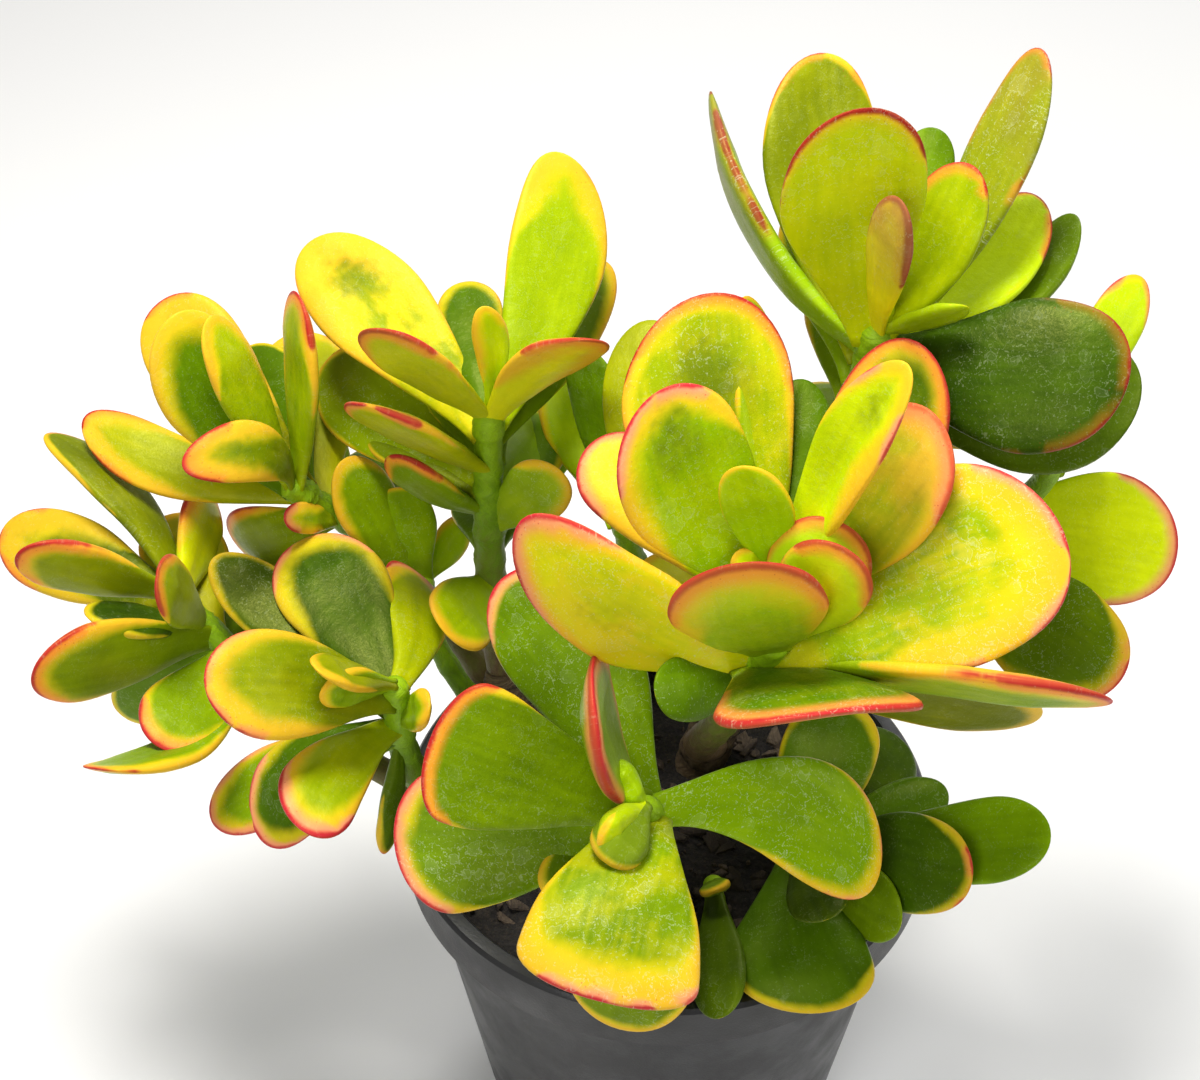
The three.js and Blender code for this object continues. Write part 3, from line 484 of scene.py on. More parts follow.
class Path:
    """A smooth curve through a stem's points, measured by its length."""

    STEPS = 80

    def __init__(self, points):
        knots = np.array(points, float)
        ends = [2 * knots[0] - knots[1], 2 * knots[-1] - knots[-2]]
        knots = np.vstack([ends[0], knots, ends[1]])
        samples = [self.span(knots[i:i + 4]) for i in range(len(knots) - 3)]
        self.places = np.vstack([*samples, knots[-2]])
        steps = np.linalg.norm(np.diff(self.places, axis=0), axis=1)
        self.reached = np.concatenate([[0], np.cumsum(steps)])
        self.length = self.reached[-1]

    def span(self, knots):
        """The curve between the middle two of four knots, with centripetal spacing."""
        gaps = np.linalg.norm(np.diff(knots, axis=0), axis=1) ** 0.5
        before, across, after = (np.diff(knots, axis=0) / gaps[:, None])
        start = before - (knots[2] - knots[0]) / (gaps[0] + gaps[1]) + across
        end = across - (knots[3] - knots[1]) / (gaps[1] + gaps[2]) + after
        start, end = start * gaps[1], end * gaps[1]
        t = np.linspace(0, 1, self.STEPS, endpoint=False)[:, None]
        rise = knots[2] - knots[1]
        return (knots[1] + start * t + (3 * rise - 2 * start - end) * t ** 2
                + (start + end - 2 * rise) * t ** 3)

    def at(self, distance):
        return np.array([np.interp(distance, self.reached, self.places[:, k]) for k in range(3)]).T

    def direction(self, distance):
        low, high = max(distance - 0.5, 0), min(distance + 0.5, self.length)
        return unit(self.at(high) - self.at(low))

    def below_tip(self, down):
        if down < 0:
            return self.at(self.length) - self.direction(self.length) * down
        return self.at(self.length - min(down, 0.97 * self.length))


def sight_line(point):
    across = (point[0] - PICTURE[0] / 2) / FOCAL
    up = (PICTURE[1] / 2 - point[1]) / FOCAL
    return unit(SIGHT + np.array([across, 0, 0]) + PICTURE_UP * up)


def leaf_tip(leaf, base):
    """Where a leaf of its length ends, so that its tip covers its picture point."""
    if leaf.tip is None:
        azimuth, pitch = math.radians(leaf.azimuth), math.radians(leaf.pitch)
        flat = math.cos(pitch)
        heading = np.array([flat * math.cos(azimuth), flat * math.sin(azimuth), math.sin(pitch)])
        return base + leaf.length * heading
    line = sight_line(leaf.tip)
    nearest = np.dot(base - EYE, line)
    offset = np.linalg.norm(EYE + line * nearest - base)
    reach = math.sqrt(max(leaf.length ** 2 - offset ** 2, 0))
    return EYE + line * (nearest + (reach if leaf.away else -reach))


def leaf_frame(leaf, base, tip):
    """A leaf's axis, the direction across it, its face, and the direction across before its turn."""
    axis = unit(tip - base)
    if leaf.tip is None:
        across = unit(np.cross(axis, [0, 0, 1]))
        return axis, across, np.cross(across, axis), across
    flat = unit(np.cross(base - EYE, axis))
    turn = math.radians(leaf.turn)
    across = flat * math.cos(turn) + np.cross(axis, flat) * math.sin(turn)
    face = np.cross(across, axis)
    if leaf.under:
        across, face = -across, -face
    return axis, across, face, flat


def outline(along, widest):
    """Half the width of a leaf along its length, as a share of its widest half."""
    past = np.clip((along - widest) / (1 - widest), 0, 1)
    rise = PETIOLE_WIDTH + (1 - PETIOLE_WIDTH) * smooth(along, 0, widest)
    return np.where(along < widest, rise, np.sqrt(1 - past ** 2.2))


def leaf_stations(widest):
    """Places along a leaf, closer together towards its rounded tip."""
    lower = np.linspace(0.01, widest, BASE_STATIONS, endpoint=False)
    upper = widest + (1 - widest) * np.sin(np.linspace(0, 0.49 * math.pi, TIP_STATIONS))
    return np.concatenate([lower, upper])


def edge_distance(out, along, leaf):
    """How far each point of the blade lies from the leaf's outline, in millimetres."""
    lower = np.linspace(0.04, leaf.widest, RIM_SAMPLES[0])
    upper = leaf.widest + (1 - leaf.widest) * np.sin(np.linspace(0, 0.5 * math.pi, RIM_SAMPLES[1]))
    stations = np.concatenate([lower, upper])
    half = leaf.width / 2 * outline(stations, leaf.widest)
    right = np.stack([half, stations * leaf.length], 1)
    left = np.stack([-half, stations * leaf.length], 1)
    rim = np.vstack([right, left])
    points = np.stack([out, along * leaf.length], 1)
    return np.sqrt(((points[:, None, :] - rim[None]) ** 2).sum(2)).min(1)


def drift(out, along, seed):
    """Three slow wanderings of a blade's colour, each about one half."""
    layers = []
    for size, octaves, offset in DRIFTS:
        places = zip((out * size).ravel(), (along * size).ravel())
        wander = [noise.fractal(Vector((x, y, seed + offset)), 0.9, 2.0, octaves) for x, y in places]
        layers.append(0.5 + DRIFT_REACH * np.array(wander).reshape(out.shape))
    return np.stack(layers, -1)


def add_object(name, data):
    obj = bpy.data.objects.new(name, data)
    bpy.context.scene.collection.objects.link(obj)
    return obj


class Piece:
    """Gathers points, faces and painted values, and makes one mesh object of them."""

    def __init__(self):
        self.points = []
        self.faces = []
        self.slots = []
        self.values = {}
        self.count = 0

    def add(self, rings, values, slot, tip=None):
        """Rings of equally many points joined into a closed skin, wound outwards."""
        rows, sides = rings.shape[:2]
        index = np.arange(rows * sides).reshape(rows, sides)
        turned = np.roll(index, -1, axis=1)
        quads = np.stack([index[:-1], turned[:-1], turned[1:], index[1:]], -1).reshape(-1, 4)
        points = rings.reshape(-1, 3)
        first, last = rings[0].mean(0), rings[-1].mean(0) if tip is None else tip
        points = np.vstack([points, first, last])
        foot, top = rows * sides, rows * sides + 1
        foot_fan = np.stack([turned[0], index[0], np.full(sides, foot)], -1)
        top_fan = np.stack([index[-1], turned[-1], np.full(sides, top)], -1)
        triangles = np.vstack([quads[:, [0, 1, 2]], quads[:, [0, 2, 3]], foot_fan, top_fan])
        a, b, c = (points[triangles[:, k]] - first for k in range(3))
        inside_out = np.einsum("ij,ij->i", a, np.cross(b, c)).sum() < 0
        for faces in (quads, foot_fan, top_fan):
            ordered = faces[:, ::-1] if inside_out else faces
            self.faces += (ordered + self.count).tolist()
            self.slots += [slot] * len(faces)
        for name, grid in values.items():
            flat = grid.reshape(-1, 3)
            ends = np.vstack([grid[0].mean(0), grid[-1].mean(0)])
            self.values.setdefault(name, []).append((self.count, np.vstack([flat, ends])))
        self.points.append(points)
        self.count += len(points)

    def build(self, name, materials):
        mesh = bpy.data.meshes.new(name)
        points = np.vstack(self.points) * MM
        mesh.from_pydata(points.tolist(), [], self.faces)
        for material in materials:
            mesh.materials.append(material)
        mesh.polygons.foreach_set("material_index", self.slots)
        mesh.polygons.foreach_set("use_smooth", [True] * len(self.faces))
        for value_name, parts in self.values.items():
            attribute = mesh.attributes.new(value_name, "FLOAT_VECTOR", "POINT")
            painted = np.zeros((len(points), 3), np.float32)
            for start, block in parts:
                painted[start:start + len(block)] = block
            attribute.data.foreach_set("vector", painted.ravel())
        mesh.update()
        return add_object(name, mesh)


def add_leaf(piece, leaf, path, rng):
    """One blade: rounded sections along its axis, painted with where each point lies on it."""
    base = path.below_tip(leaf.down)
    tip = leaf_tip(leaf, base)
    axis, across, face, flat = leaf_frame(leaf, base, tip)
    length = np.linalg.norm(tip - base)
    along = leaf_stations(leaf.widest)[:, None]
    angle = angles(SECTION_SIDES)[None]
    cosine, sine = np.cos(angle), np.sin(angle)
    reach = np.sign(cosine) * np.abs(cosine) ** 0.9
    swell = np.sign(sine) * np.abs(sine) ** 0.75

    share = outline(along, leaf.widest)
    phase = rng.uniform(0, 2 * math.pi, 6)
    slow = SLOW_RIPPLE * np.sin(9 * along + phase[0]) * np.sign(reach)
    ripple = 1 + slow + FINE_RIPPLE * np.sin(17 * along + phase[1])
    half = leaf.width / 2 * share * ripple
    thick = leaf.thick or LEAF_THICKNESS * min(1, 0.45 + leaf.width / 50)
    thinned = np.minimum(1, 0.3 + 3 * np.maximum(1 - along, 0.05))
    deep = thick / 2 * thinned * np.minimum(1, share * 1.6)
    arch = 4 * along * (1 - along)
    middle = (base + axis * length * along[..., None] + face * (arch * leaf.bow)[..., None]
              + flat * (arch * leaf.side)[..., None])
    fold = leaf.fold * (np.abs(reach) ** 1.1 - reach ** 2) * share
    crease = CREASE_DEPTH * np.exp(-(reach / 0.1) ** 2) * np.sin(math.pi * np.clip(along, 0, 1))
    dents = np.sin(7 * along + 3 * reach + phase[2]) * np.sin(11 * along - 2.4 * reach + phase[3])
    lift = leaf.cup * share ** 2 * reach ** 2 + fold + deep * swell - crease + DENT_DEPTH * dents * share
    out = reach * half
    rings = middle + across * out[..., None] + face * lift[..., None]

    grid = np.broadcast_to(along, out.shape)
    edge = edge_distance(out.ravel(), grid.ravel(), leaf).reshape(out.shape)
    edge = np.hypot(edge, EDGE_ROUND * deep * swell)
    left, right, end = leaf.gold
    if leaf.under:
        left, right = right, left
    band = left + (right - left) * smooth(reach, -0.7, 0.7) + 0 * grid
    band = band + (end - band) * smooth(grid, 0.6, 0.95)
    reached = smooth(grid, leaf.bare - 0.1, leaf.bare + 0.35)
    widest_band = max(left, right, end)
    favour = 0.3 + 0.7 * band / widest_band if widest_band > 0 else 1
    redness = leaf.rim * favour * smooth(grid, leaf.bare - 0.05, leaf.bare + 0.5)
    ratio = np.minimum(edge / np.maximum(band * reached, 0.05), 20)
    underside = np.broadcast_to(0.5 - np.clip(sine * 2, -0.5, 0.5), out.shape)
    strength, place, aside = leaf.dark
    patch = strength * np.exp(-((grid - place) / DARK_LENGTH) ** 2 - ((reach - aside) / DARK_WIDTH) ** 2)
    whole = np.ones_like(out)
    tone = leaf.tone + FOOT_PALER * (1 - smooth(grid, 0, 0.45))
    values = {
        "leaf_place": np.stack([out, grid * length, whole * rng.uniform(0, 900)], -1),
        "leaf_margin": np.stack([edge, ratio, underside], -1),
        "leaf_tone": np.stack([tone, whole * leaf.stain, whole * leaf.blot], -1),
        "leaf_rim": np.stack([redness, whole * leaf.pink, leaf.blush * smooth(grid, 0.3, 1)], -1),
        "leaf_patch": np.stack([patch, whole * leaf.warm, whole * 0], -1),
        "leaf_drift": drift(out, grid * length, rng.uniform(0, 900)),
    }
    piece.add(rings, values, 0, tip=tip)


def add_stem(piece, stem, path, nodes, slot, woody=False):
    """A round stem with a swollen ring where each pair of leaves grows or once grew."""
    steps = max(int(path.length / STEM_STEP), 12)
    distance = np.linspace(0, path.length, steps)
    along = distance / path.length
    radius = stem.radii[0] + (stem.radii[1] - stem.radii[0]) * along
    for node in nodes:
        offset = (distance - node) / RING_WIDTH
        radius = radius + RING_SWELL * np.exp(-offset ** 2)
        radius = radius - RING_GROOVE * np.exp(-(offset * 3.4) ** 2)
    top = smooth(path.length - distance, 0, stem.radii[1] * (1.1 if woody else 0.9))
    radius = radius * (0.35 + 0.65 * np.sqrt(top))
    angle = angles(STEM_SIDES)
    rough = BARK_ROUGH if woody else STEM_ROUGH
    rings = []
    places = []
    for reached, size in zip(distance, radius):
        centre = path.at(reached)
        forward = path.direction(reached)
        side = unit(np.cross(np.array([0.3, 1, 0]), forward))
        other = np.cross(forward, side)
        height = reached * 0.22 + size
        lumps = [noise.noise(Vector((math.cos(a) * 1.3, math.sin(a) * 1.3, height))) for a in angle]
        spread = (size * (1 + rough * np.array(lumps)))[:, None]
        rings.append(centre + side * spread * np.cos(angle)[:, None]
                     + other * spread * np.sin(angle)[:, None])
        places.append(np.stack([angle * size, np.full(STEM_SIDES, reached),
                                np.full(STEM_SIDES, path.length - reached)], -1))
    piece.add(np.array(rings), {"stem_place": np.array(places)}, slot)


class Nodes:
    """Builds a material from short sums of its nodes."""

    def __init__(self, name):
        self.material = bpy.data.materials.new(name)
        self.material.use_nodes = True
        self.tree = self.material.node_tree
        self.tree.nodes.clear()
        output = self.tree.nodes.new("ShaderNodeOutputMaterial")
        self.shader = self.tree.nodes.new("ShaderNodeBsdfPrincipled")
        self.tree.links.new(self.shader.outputs["BSDF"], output.inputs["Surface"])

    def plug(self, value, socket):
        if isinstance(value, bpy.types.NodeSocket):
            self.tree.links.new(value, socket)
        else:
            socket.default_value = value

    def node(self, kind, sockets, **settings):
        """A new node, with its settings made first and its sockets plugged after them."""
        node = self.tree.nodes.new("ShaderNode" + kind)
        for key, value in settings.items():
            setattr(node, key, value)
        for key, value in sockets.items():
            self.plug(value, node.inputs[key])
        return node

    def math(self, operation, a, b=0.0):
        return self.node("Math", {0: a, 1: b}, operation=operation).outputs[0]

    def add(self, a, b):
        return self.math("ADD", a, b)

    def times(self, a, b):
        return self.math("MULTIPLY", a, b)

    def less(self, a, b):
        return self.math("SUBTRACT", a, b)

    def step(self, value, low, high, start=0.0, end=1.0):
        sockets = {"Value": value, "From Min": low, "From Max": high, "To Min": start, "To Max": end}
        return self.node("MapRange", sockets, interpolation_type="SMOOTHSTEP").outputs["Result"]

    def mix(self, share, a, b, blend="MIX"):
        a, b = (c if isinstance(c, bpy.types.NodeSocket) else (*c, 1) for c in (a, b))
        settings = dict(data_type="RGBA", blend_type=blend, clamp_factor=True)
        return self.node("Mix", {"Factor": share, 6: a, 7: b}, **settings).outputs[2]

    def painted(self, name):
        """A value painted on the mesh, whole and as its three parts."""
        whole = self.node("Attribute", {}, attribute_name=name).outputs["Vector"]
        return whole, *self.node("SeparateXYZ", {0: whole}).outputs

    def object_place(self):
        return self.node("TexCoord", {}).outputs["Object"]

    def object_place_mm(self):
        return self.stretch(self.object_place(), (1000.0, 1000.0, 1000.0))

    def stretch(self, vector, scale):
        return self.node("VectorMath", {0: vector, 1: scale}, operation="MULTIPLY").outputs[0]

    def noise(self, vector, scale, detail=2.0, rough=0.5):
        sockets = {"Vector": vector, "Scale": scale, "Detail": detail, "Roughness": rough}
        return self.node("TexNoise", sockets).outputs["Fac"]

    def warped(self, vector, scale, reach):
        """The vector pushed about by noise, so that what is drawn from it isn't regular."""
        push = self.node("TexNoise", {"Vector": vector, "Scale": scale}).outputs["Color"]
        sockets = {0: push, 1: (reach, reach, 0.0), 2: vector}
        return self.node("VectorMath", sockets, operation="MULTIPLY_ADD").outputs[0]

    def cells(self, vector, scale, feature="F1"):
        sockets = {"Vector": vector, "Scale": scale}
        return self.node("TexVoronoi", sockets, feature=feature).outputs["Distance"]

    def ramp(self, share, stops):
        node = self.node("ValToRGB", {0: share})
        elements = node.color_ramp.elements
        while len(elements) < len(stops):
            elements.new(0.5)
        for element, (place, colour) in zip(elements, stops):
            element.position = place
            element.color = (*colour, 1)
        return node.outputs[0]

    def bump(self, height, distance, strength):
        node = self.node("Bump", {"Height": height, "Distance": distance, "Strength": strength})
        self.set(Normal=node.outputs[0])

    def set(self, **values):
        for key, value in values.items():
            self.plug(value, self.shader.inputs[key.replace("_", " ")])


GOLD = (0.80, 0.45, 0.02)
YELLOW = (0.72, 0.58, 0.008)
SHADED_OLIVE = (0.32, 0.33, 0.01)
ORANGE = (0.82, 0.24, 0.03)
PEACH = (0.84, 0.27, 0.16)
RIM_REDS = [
    (0.0, (0.12, 0.010, 0.009)),
    (0.45, (0.38, 0.014, 0.012)),
    (1.0, (0.54, 0.022, 0.038)),
]
SALMON = (0.80, 0.20, 0.05)
BROWN_RED = (0.36, 0.10, 0.06)
WATER_MARK = (0.66, 0.74, 0.46)
UNDERSIDE = (0.36, 0.44, 0.04)
DARK_PATCH = (0.10, 0.16, 0.004)
WARMER = (1.75, 0.97, 1.0)
SHEEN = (1.0, 1.0, 0.25, 1.0)
GREENS = [
    (0.0, (0.022, 0.056, 0.002)),
    (0.3, (0.085, 0.175, 0.001)),
    (0.5, (0.185, 0.335, 0.001)),
    (0.7, (0.350, 0.530, 0.001)),
    (0.9, (0.580, 0.750, 0.002)),
    (1.0, (0.720, 0.900, 0.003)),
]


def leaf_material():
    """A waxy blade: green heart, yellow margin, red rim, with dried water marks."""
    n = Nodes("succulent_leaf")
    place, _, _, _ = n.painted("leaf_place")
    _, edge, ratio, underside = n.painted("leaf_margin")
    _, tone, stain, blot = n.painted("leaf_tone")
    _, rim, pink, blush = n.painted("leaf_rim")
    _, patch, warm, _ = n.painted("leaf_patch")
    _, broad, patchy, dusty = n.painted("leaf_drift")

    broad = n.less(broad, 0.5)
    middling = n.less(n.noise(place, 0.35), 0.5)
    fine = n.noise(place, 2.4, 2, 0.6)
    streaks = n.less(n.noise(n.stretch(place, (1.0, 0.14, 1.0)), 0.55), 0.5)

    # The green's lightness follows the painted tone, which holds painted light and shade as well as the
    # leaf's own colour.
    shade = n.add(n.times(tone, 0.455), 0.455)
    shade = n.add(shade, n.add(n.times(broad, 0.22), n.times(middling, 0.08)))
    shade = n.add(shade, n.times(streaks, 0.14))
    heart = n.ramp(shade, GREENS)
    heart = n.mix(warm, heart, n.mix(1.0, heart, WARMER, "MULTIPLY"))
    marbled = n.add(n.add(patchy, n.times(broad, 0.3)),
                    n.add(n.times(streaks, 0.35), n.times(middling, 0.3)))
    mottled = n.times(n.step(marbled, 0.3, 0.72), blot)
    heart = n.mix(mottled, heart, YELLOW)

    wander = n.add(n.times(broad, 1.5), n.times(middling, 0.5))
    margin = n.step(n.add(ratio, wander), 0.3, 1.45, 1.0, 0.0)
    yellow = n.mix(n.step(n.less(ratio, n.times(warm, 0.8)), 0.0, 0.9), GOLD, YELLOW)
    # Leaves of dark tone get a duller olive margin, which is partly painted shade like their dark tone.
    yellow = n.mix(n.step(tone, -0.8, 0.2, 0.4, 0.0), yellow, SHADED_OLIVE)
    colour = n.mix(margin, heart, yellow)
    spot = n.step(n.add(patch, n.add(n.times(middling, 0.7), n.times(broad, 0.8))), 0.1, 0.9)
    colour = n.mix(n.times(n.times(spot, 0.85), n.step(patch, 0.02, 0.3)), colour, DARK_PATCH)

    ragged = n.add(edge, n.add(n.times(middling, 0.5), n.times(broad, 1.0)))
    flushed = n.add(n.add(broad, n.times(n.less(patchy, 0.5), 0.6)), n.times(n.less(rim, 0.9), 0.35))
    keen = n.times(rim, n.step(flushed, -0.1, 0.14, 0.2, 1.3))
    glow = n.step(ragged, n.times(keen, 0.4), n.add(n.times(keen, 1.9), 0.4), 1.0, 0.0)
    glow = n.times(glow, n.step(pink, -0.4, 0.1, 0.25, 1.0))
    warm_edge = n.mix(n.step(pink, 0.3, 1.0), ORANGE, PEACH)
    colour = n.mix(n.times(glow, n.step(keen, 0.15, 1.1, 0.0, 0.9)), colour, warm_edge)
    line = n.step(ragged, n.times(keen, 0.2), n.add(n.times(keen, 0.6), 0.15), 1.0, 0.0)
    hue = n.add(n.times(pink, 0.5), n.add(n.times(broad, 0.5), 0.5))
    reds = n.ramp(hue, RIM_REDS)
    colour = n.mix(n.times(line, n.step(keen, 0.15, 0.8)), colour, reds)
    flush = n.mix(n.step(pink, 0.0, 0.4), BROWN_RED, SALMON)
    colour = n.mix(n.times(blush, n.step(patchy, 0.25, 0.65, 0.5, 0.95)), colour, flush)

    freckles = n.step(n.cells(place, 0.8), 0.08, 0.16, 1.0, 0.0)
    near = n.times(n.step(edge, 1.0, 5.0, 1.0, 0.0), n.step(keen, 0.1, 0.8))
    colour = n.mix(n.times(freckles, n.times(near, 0.6)), colour, reds)

    bent = n.warped(place, 0.5, 3.2)
    border = n.cells(bent, 0.42, "DISTANCE_TO_EDGE")
    cracks = n.times(n.step(border, 0.012, 0.05, 1.0, 0.0), n.step(fine, 0.48, 0.58))
    size = n.step(patchy, 0.3, 0.7, 0.06, 0.42)
    inside = n.less(size, n.cells(bent, 0.19))
    drops = n.add(n.times(n.step(inside, 0.0, 0.05), 0.05),
                  n.times(n.step(n.math("ABSOLUTE", inside), 0.0, 0.03, 1.0, 0.0), n.times(fine, 0.5)))
    specks = n.step(n.noise(place, 1.4, 2, 0.7), 0.6, 0.74)
    dusty = n.step(dusty, 0.4, 0.62)
    marks = n.math("MAXIMUM", n.times(n.times(cracks, dusty), 0.4), n.times(specks, 0.35))
    marks = n.times(n.math("MAXIMUM", marks, n.times(drops, dusty)), stain)
    colour = n.mix(marks, colour, WATER_MARK)
    colour = n.mix(n.times(underside, 0.12), colour, UNDERSIDE)

    rough = n.add(n.times(marks, 0.3), n.step(fine, 0.3, 0.7, 0.32, 0.46))
    n.set(Base_Color=colour, IOR=1.4, Specular_IOR_Level=0.3, Specular_Tint=SHEEN, Roughness=rough)
    n.bump(n.add(n.times(fine, 0.16), n.times(middling, 0.7)), 0.0005, 0.5)
    return n.material


def stem_material():
    """Green below the growing tip, turning olive and then to brown bark further down."""
    n = Nodes("green_stem")
    place, _, _, below = n.painted("stem_place")
    coarse = n.noise(n.stretch(place, (1.0, 0.35, 0.0)), 0.6, 4, 0.6)
    age = n.add(n.times(below, 0.011), n.times(n.less(coarse, 0.5), 0.6))
    colour = n.ramp(age, [
        (0.0, (0.30, 0.50, 0.004)), (0.35, (0.15, 0.29, 0.003)),
        (0.7, (0.16, 0.17, 0.03)), (1.0, (0.16, 0.10, 0.05)),
    ])
    fine = n.noise(place, 1.8, 3, 0.6)
    colour = n.mix(n.step(fine, 0.5, 0.72, 0.0, 0.3), colour, (0.22, 0.22, 0.06))
    n.set(Base_Color=colour, Roughness=0.45, Specular_IOR_Level=0.25)
    n.bump(n.add(coarse, n.times(fine, 0.4)), 0.0006, 0.6)
    return n.material


def bark_material():
    """Corky grey-brown bark of the old trunks, ringed by leaf scars."""
    n = Nodes("woody_bark")
    place, _, along, _ = n.painted("stem_place")
    rough = n.noise(n.stretch(place, (1.0, 0.5, 0.0)), 0.5, 5, 0.65)
    scars = n.math("ABSOLUTE", n.math("SINE", n.add(n.times(along, 0.42), n.times(rough, 2.0))))
    colour = n.ramp(rough, [(0.25, (0.045, 0.028, 0.015)), (0.5, (0.13, 0.085, 0.045)),
                            (0.75, (0.26, 0.19, 0.11))])
    colour = n.mix(n.step(scars, 0.0, 0.22, 0.6, 0.0), colour, (0.03, 0.02, 0.012))
    n.set(Base_Color=colour, Roughness=0.85)
    n.bump(n.add(rough, n.times(n.step(scars, 0.0, 0.25), 0.5)), 0.0012, 0.8)
    return n.material


def soil_material():
    """Dark damp potting mix with fibres and grit, made near black partly as painted shade under the
    leaves.
    """
    n = Nodes("potting_soil")
    place = n.object_place_mm()
    crumb = n.noise(place, 0.5, 6, 0.7)
    grit = n.cells(place, 0.8)
    colour = n.ramp(crumb, [(0.3, (0.003, 0.002, 0.002)), (0.5, (0.012, 0.009, 0.007)),
                            (0.72, (0.040, 0.029, 0.020))])
    colour = n.mix(n.step(grit, 0.05, 0.2, 0.5, 0.0), colour, (0.06, 0.048, 0.036))
    n.set(Base_Color=colour, Roughness=0.95)
    n.bump(n.add(crumb, n.times(grit, 0.4)), 0.002, 1.0)
    return n.material


def chip_material():
    """Weathered bark chips, from near black to grey-brown."""
    n = Nodes("bark_chip")
    place = n.object_place_mm()
    each = n.noise(place, 0.09, 1)
    grain = n.noise(n.stretch(place, (1.0, 0.3, 1.0)), 1.1, 4, 0.7)
    colour = n.ramp(n.add(n.times(each, 0.7), n.times(grain, 0.4)), [
        (0.3, (0.008, 0.006, 0.004)), (0.55, (0.035, 0.023, 0.014)), (0.8, (0.16, 0.115, 0.075)),
    ])
    n.set(Base_Color=colour, Roughness=0.9)
    n.bump(grain, 0.001, 0.8)
    return n.material


def pot_material():
    """Black moulded plastic with a faint grain and patches of dust."""
    n = Nodes("pot_plastic")
    place = n.object_place_mm()
    grain = n.noise(place, 1.6, 3, 0.6)
    dust = n.noise(place, 0.05, 4, 0.6)
    colour = n.mix(n.step(dust, 0.4, 0.8, 0.0, 0.2), (0.009, 0.009, 0.010), (0.035, 0.032, 0.03))
    rough = n.step(dust, 0.35, 0.7, 0.38, 0.62)
    n.set(Base_Color=colour, Coat_Weight=0.1, Coat_Roughness=0.4, Roughness=rough)
    n.bump(grain, 0.0002, 0.5)
    return n.material


def floor_material():
    n = Nodes("studio_floor")
    mottle = n.noise(n.object_place(), 3.0, 2)
    n.set(Base_Color=n.mix(mottle, (0.86, 0.86, 0.855), (0.88, 0.88, 0.875)), Roughness=0.9)
    return n.material


def make_shoots(leaf_look, stem_look):
    """The leafy shoots, with the scars of fallen leaves ringing each stem below its lowest pair."""
    for number, shoot in enumerate(SHOOTS):
        rng = np.random.default_rng(SEED + number)
        piece = Piece()
        paths = [Path(stem.points) for stem in shoot.stems]
        for index, (stem, path) in enumerate(zip(shoot.stems, paths)):
            nodes = [path.length - leaf.down for leaf in shoot.leaves if leaf.branch == index]
            lowest = min(nodes, default=path.length)
            nodes += list(np.arange(lowest - 10, 8, -SCAR_STEP))
            add_stem(piece, stem, path, nodes, 1)
        for leaf in shoot.leaves:
            add_leaf(piece, leaf, paths[leaf.branch], rng)
        obj = piece.build(shoot.name + "_fine", [leaf_look, stem_look])
        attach(obj, "root")
        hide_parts("shoot_" + shoot.name)


def make_trunks(bark_look):
    for name, stem in TRUNKS.items():
        piece = Piece()
        path = Path(stem.points)
        add_stem(piece, stem, path, list(np.arange(8, path.length - 4, TRUNK_RING_STEP)), 0, woody=True)
        obj = piece.build(name + "_bark", [bark_look])
        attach(obj, "root")
        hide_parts(name)


def circle(radius, height, sides):
    """Evenly spaced points of a level circle around the pot's axis."""
    angle = angles(sides)
    return np.stack([radius * np.cos(angle), radius * np.sin(angle), np.full(sides, height)], -1)


def wall_radius(height):
    return POT_BASE_RADIUS + (POT_TOP_RADIUS - POT_BASE_RADIUS) * height / POT_HEIGHT


def soil_height(x, y):
    lumps = noise.fractal(Vector((x * 0.09, y * 0.09, 3.1)), 0.8, 2.1, 4)
    crumbs = noise.noise(Vector((x * 0.5, y * 0.5, 8.2)))
    return (SOIL_TOP + SOIL_BUMP * math.sin(0.21 * x + 1) * math.cos(0.17 * y)
            + SOIL_LUMP * lumps + SOIL_CRUMB * crumbs)


def make_soil(look):
    """The potting mix: a lumpy top that sinks a little towards the wall."""
    inner = wall_radius(SOIL_TOP) - POT_WALL - SOIL_GAP
    floor = wall_radius(SOIL_FLOOR) - POT_WALL - SOIL_FLOOR_GAP
    rings = [circle(floor * 0.3, SOIL_FLOOR, SOIL_SIDES), circle(floor, SOIL_FLOOR, SOIL_SIDES)]
    for radius in np.concatenate([[inner], np.linspace(inner - 1, 1, SOIL_RINGS)]):
        ring = circle(radius, -SOIL_SINK * smooth(radius, inner - 4, inner), SOIL_SIDES)
        ring[:, 2] += [soil_height(x, y) for x, y, _ in ring]
        rings.append(ring)
    piece = Piece()
    piece.add(np.array(rings), {}, 0)
    obj = piece.build("soil_fill", [look])
    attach(obj, "root")
    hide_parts("soil")


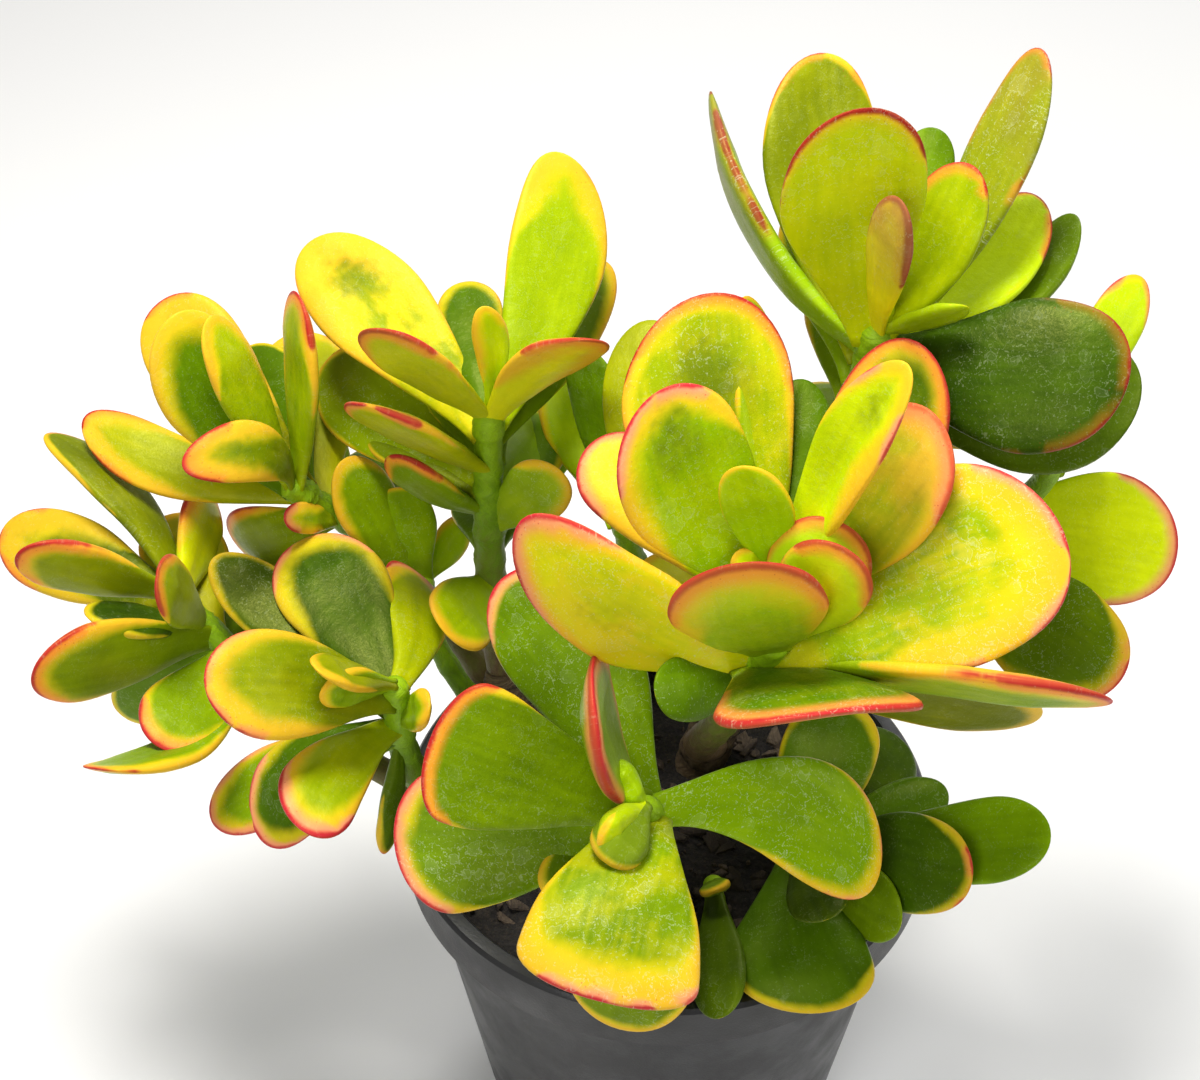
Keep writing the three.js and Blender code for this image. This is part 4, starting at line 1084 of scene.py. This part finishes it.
def make_chips(look):
    """Bark chips and grit lying on the soil, clear of the trunks and the wall."""
    rng = np.random.default_rng(CHIP_SEED)
    feet = np.array([stem.points[1][:2] for stem in TRUNKS.values()])
    inner = wall_radius(SOIL_TOP) - POT_WALL
    piece = Piece()
    while len(piece.points) < CHIPS:
        big = len(piece.points) < BIG_CHIPS
        long, wide, high = rng.uniform(*BIG_CHIP_SIZES) if big else rng.uniform(*GRIT_SIZES, 3)
        x, y = rng.uniform(-inner, inner, 2)
        if math.hypot(x, y) > inner - 0.5 * max(long, wide) - WALL_CLEARANCE:
            continue
        if np.linalg.norm(feet - (x, y), axis=1).min() < TRUNK_CLEARANCE + 0.5 * long:
            continue
        turn = rng.uniform(0, 2 * math.pi)
        tilt = rng.normal(0, CHIP_TILT, 2)
        corner = np.sort(rng.uniform(0, 2 * math.pi, CHIP_SIDES))
        rings = []
        for level, share in CHIP_LEVELS:
            wobble = rng.uniform(0.85, 1.12, CHIP_SIDES)
            a = 0.5 * long * share * wobble * np.cos(corner)
            b = 0.5 * wide * share * wobble * np.sin(corner)
            c = high * (level - 0.3) + a * tilt[0] + b * tilt[1]
            rings.append(np.stack([x + a * math.cos(turn) - b * math.sin(turn),
                                   y + a * math.sin(turn) + b * math.cos(turn),
                                   c + soil_height(x, y) + 0.2], -1))
        piece.add(np.array(rings), {}, 0)
    obj = piece.build("bark_chips", [look])
    for face in obj.data.polygons:
        face.use_smooth = False
    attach(obj, "root")


def cut_drain_holes(pot):
    """Takes six round holes out of the pot's floor."""
    drills = Piece()
    for turn in angles(DRAIN_HOLES):
        place = np.array([DRAIN_RING * math.cos(turn), DRAIN_RING * math.sin(turn), 0])
        ends = [circle(DRAIN_RADIUS, height, DRAIN_SIDES) + place
                for height in (-POT_WALL, 2 * POT_WALL)]
        drills.add(np.array(ends), {}, 0)
    cutter = drills.build("drills", [])
    holes = pot.modifiers.new("drain_holes", "BOOLEAN")
    holes.object = cutter
    graph = bpy.context.evaluated_depsgraph_get()
    pot.data = bpy.data.meshes.new_from_object(pot.evaluated_get(graph))
    pot.modifiers.remove(holes)
    bpy.data.objects.remove(cutter)


def make_pot(look):
    """The tapered pot with its rolled rim, turned from one rounded profile."""
    below_rim = POT_HEIGHT - RIM_HEIGHT
    top = POT_TOP_RADIUS
    corners = [
        (FLOOR_EYE, 0.0), (POT_BASE_RADIUS - FOOT_ROUND, 0.0), (POT_BASE_RADIUS - 0.6, 0.8),
        (POT_BASE_RADIUS, FOOT_ROUND), (wall_radius(below_rim), below_rim),
        (top + RIM_OUT - RIM_EASE, below_rim + 0.2), (top + RIM_OUT, below_rim + RIM_ROLL),
        (top + RIM_OUT, POT_HEIGHT - RIM_ROLL), (top + RIM_OUT - RIM_EASE, POT_HEIGHT - 0.1),
        (top - POT_WALL + 0.8, POT_HEIGHT - 0.1), (top - POT_WALL, POT_HEIGHT - 1.0),
        (POT_BASE_RADIUS - POT_WALL, POT_WALL), (FLOOR_EYE, POT_WALL),
    ]
    piece = Piece()
    piece.add(np.array([circle(radius, height, POT_SIDES) for radius, height in corners]), {}, 0)
    obj = piece.build("pot_shell", [look])
    cut_drain_holes(obj)
    bevel = obj.modifiers.new("rounding", "BEVEL")
    bevel.width = POT_ROUNDING * MM
    bevel.segments = 2
    bevel.limit_method = "ANGLE"
    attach(obj, "root")
    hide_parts("pot")


def area_light(name, place, size, power, colour):
    data = bpy.data.lights.new(name, "AREA")
    data.shape = "DISK"
    data.size = size
    data.energy = power
    data.color = colour
    light = add_object(name, data)
    light.location = place
    aim = Vector(TARGET * MM) - Vector(place)
    light.rotation_euler = aim.to_track_quat("-Z", "Y").to_euler()


def make_studio():
    mesh = bpy.data.meshes.new("studio_floor")
    reach = FLOOR_REACH
    corners = [(-reach, -reach, 0), (reach, -reach, 0), (reach, reach, 0), (-reach, reach, 0)]
    mesh.from_pydata(corners, [], [(0, 1, 2, 3)])
    mesh.materials.append(floor_material())
    add_object("studio_floor", mesh)

    world = bpy.data.worlds.new("studio")
    world.use_nodes = True
    sky = world.node_tree.nodes["Background"].inputs
    sky["Color"].default_value = (1.0, 1.0, 1.0, 1)
    sky["Strength"].default_value = SKY_LIGHT
    bpy.context.scene.world = world
    for name, light in LIGHTS.items():
        area_light(name, *light)


def make_camera():
    data = bpy.data.cameras.new("camera")
    data.sensor_fit = "HORIZONTAL"
    data.sensor_width = SENSOR
    data.lens = FOCAL / PICTURE[0] * SENSOR
    data.clip_start = NEAREST_SEEN
    camera = add_object("camera", data)
    camera.location = Vector(EYE * MM)
    camera.rotation_euler = (math.radians(90) - ELEVATION, 0, 0)
    bpy.context.scene.camera = camera


make_camera()
make_studio()
make_pot(pot_material())
make_soil(soil_material())
make_chips(chip_material())
make_trunks(bark_material())
make_shoots(leaf_material(), stem_material())
bpy.context.scene.view_settings.view_transform = "Standard"
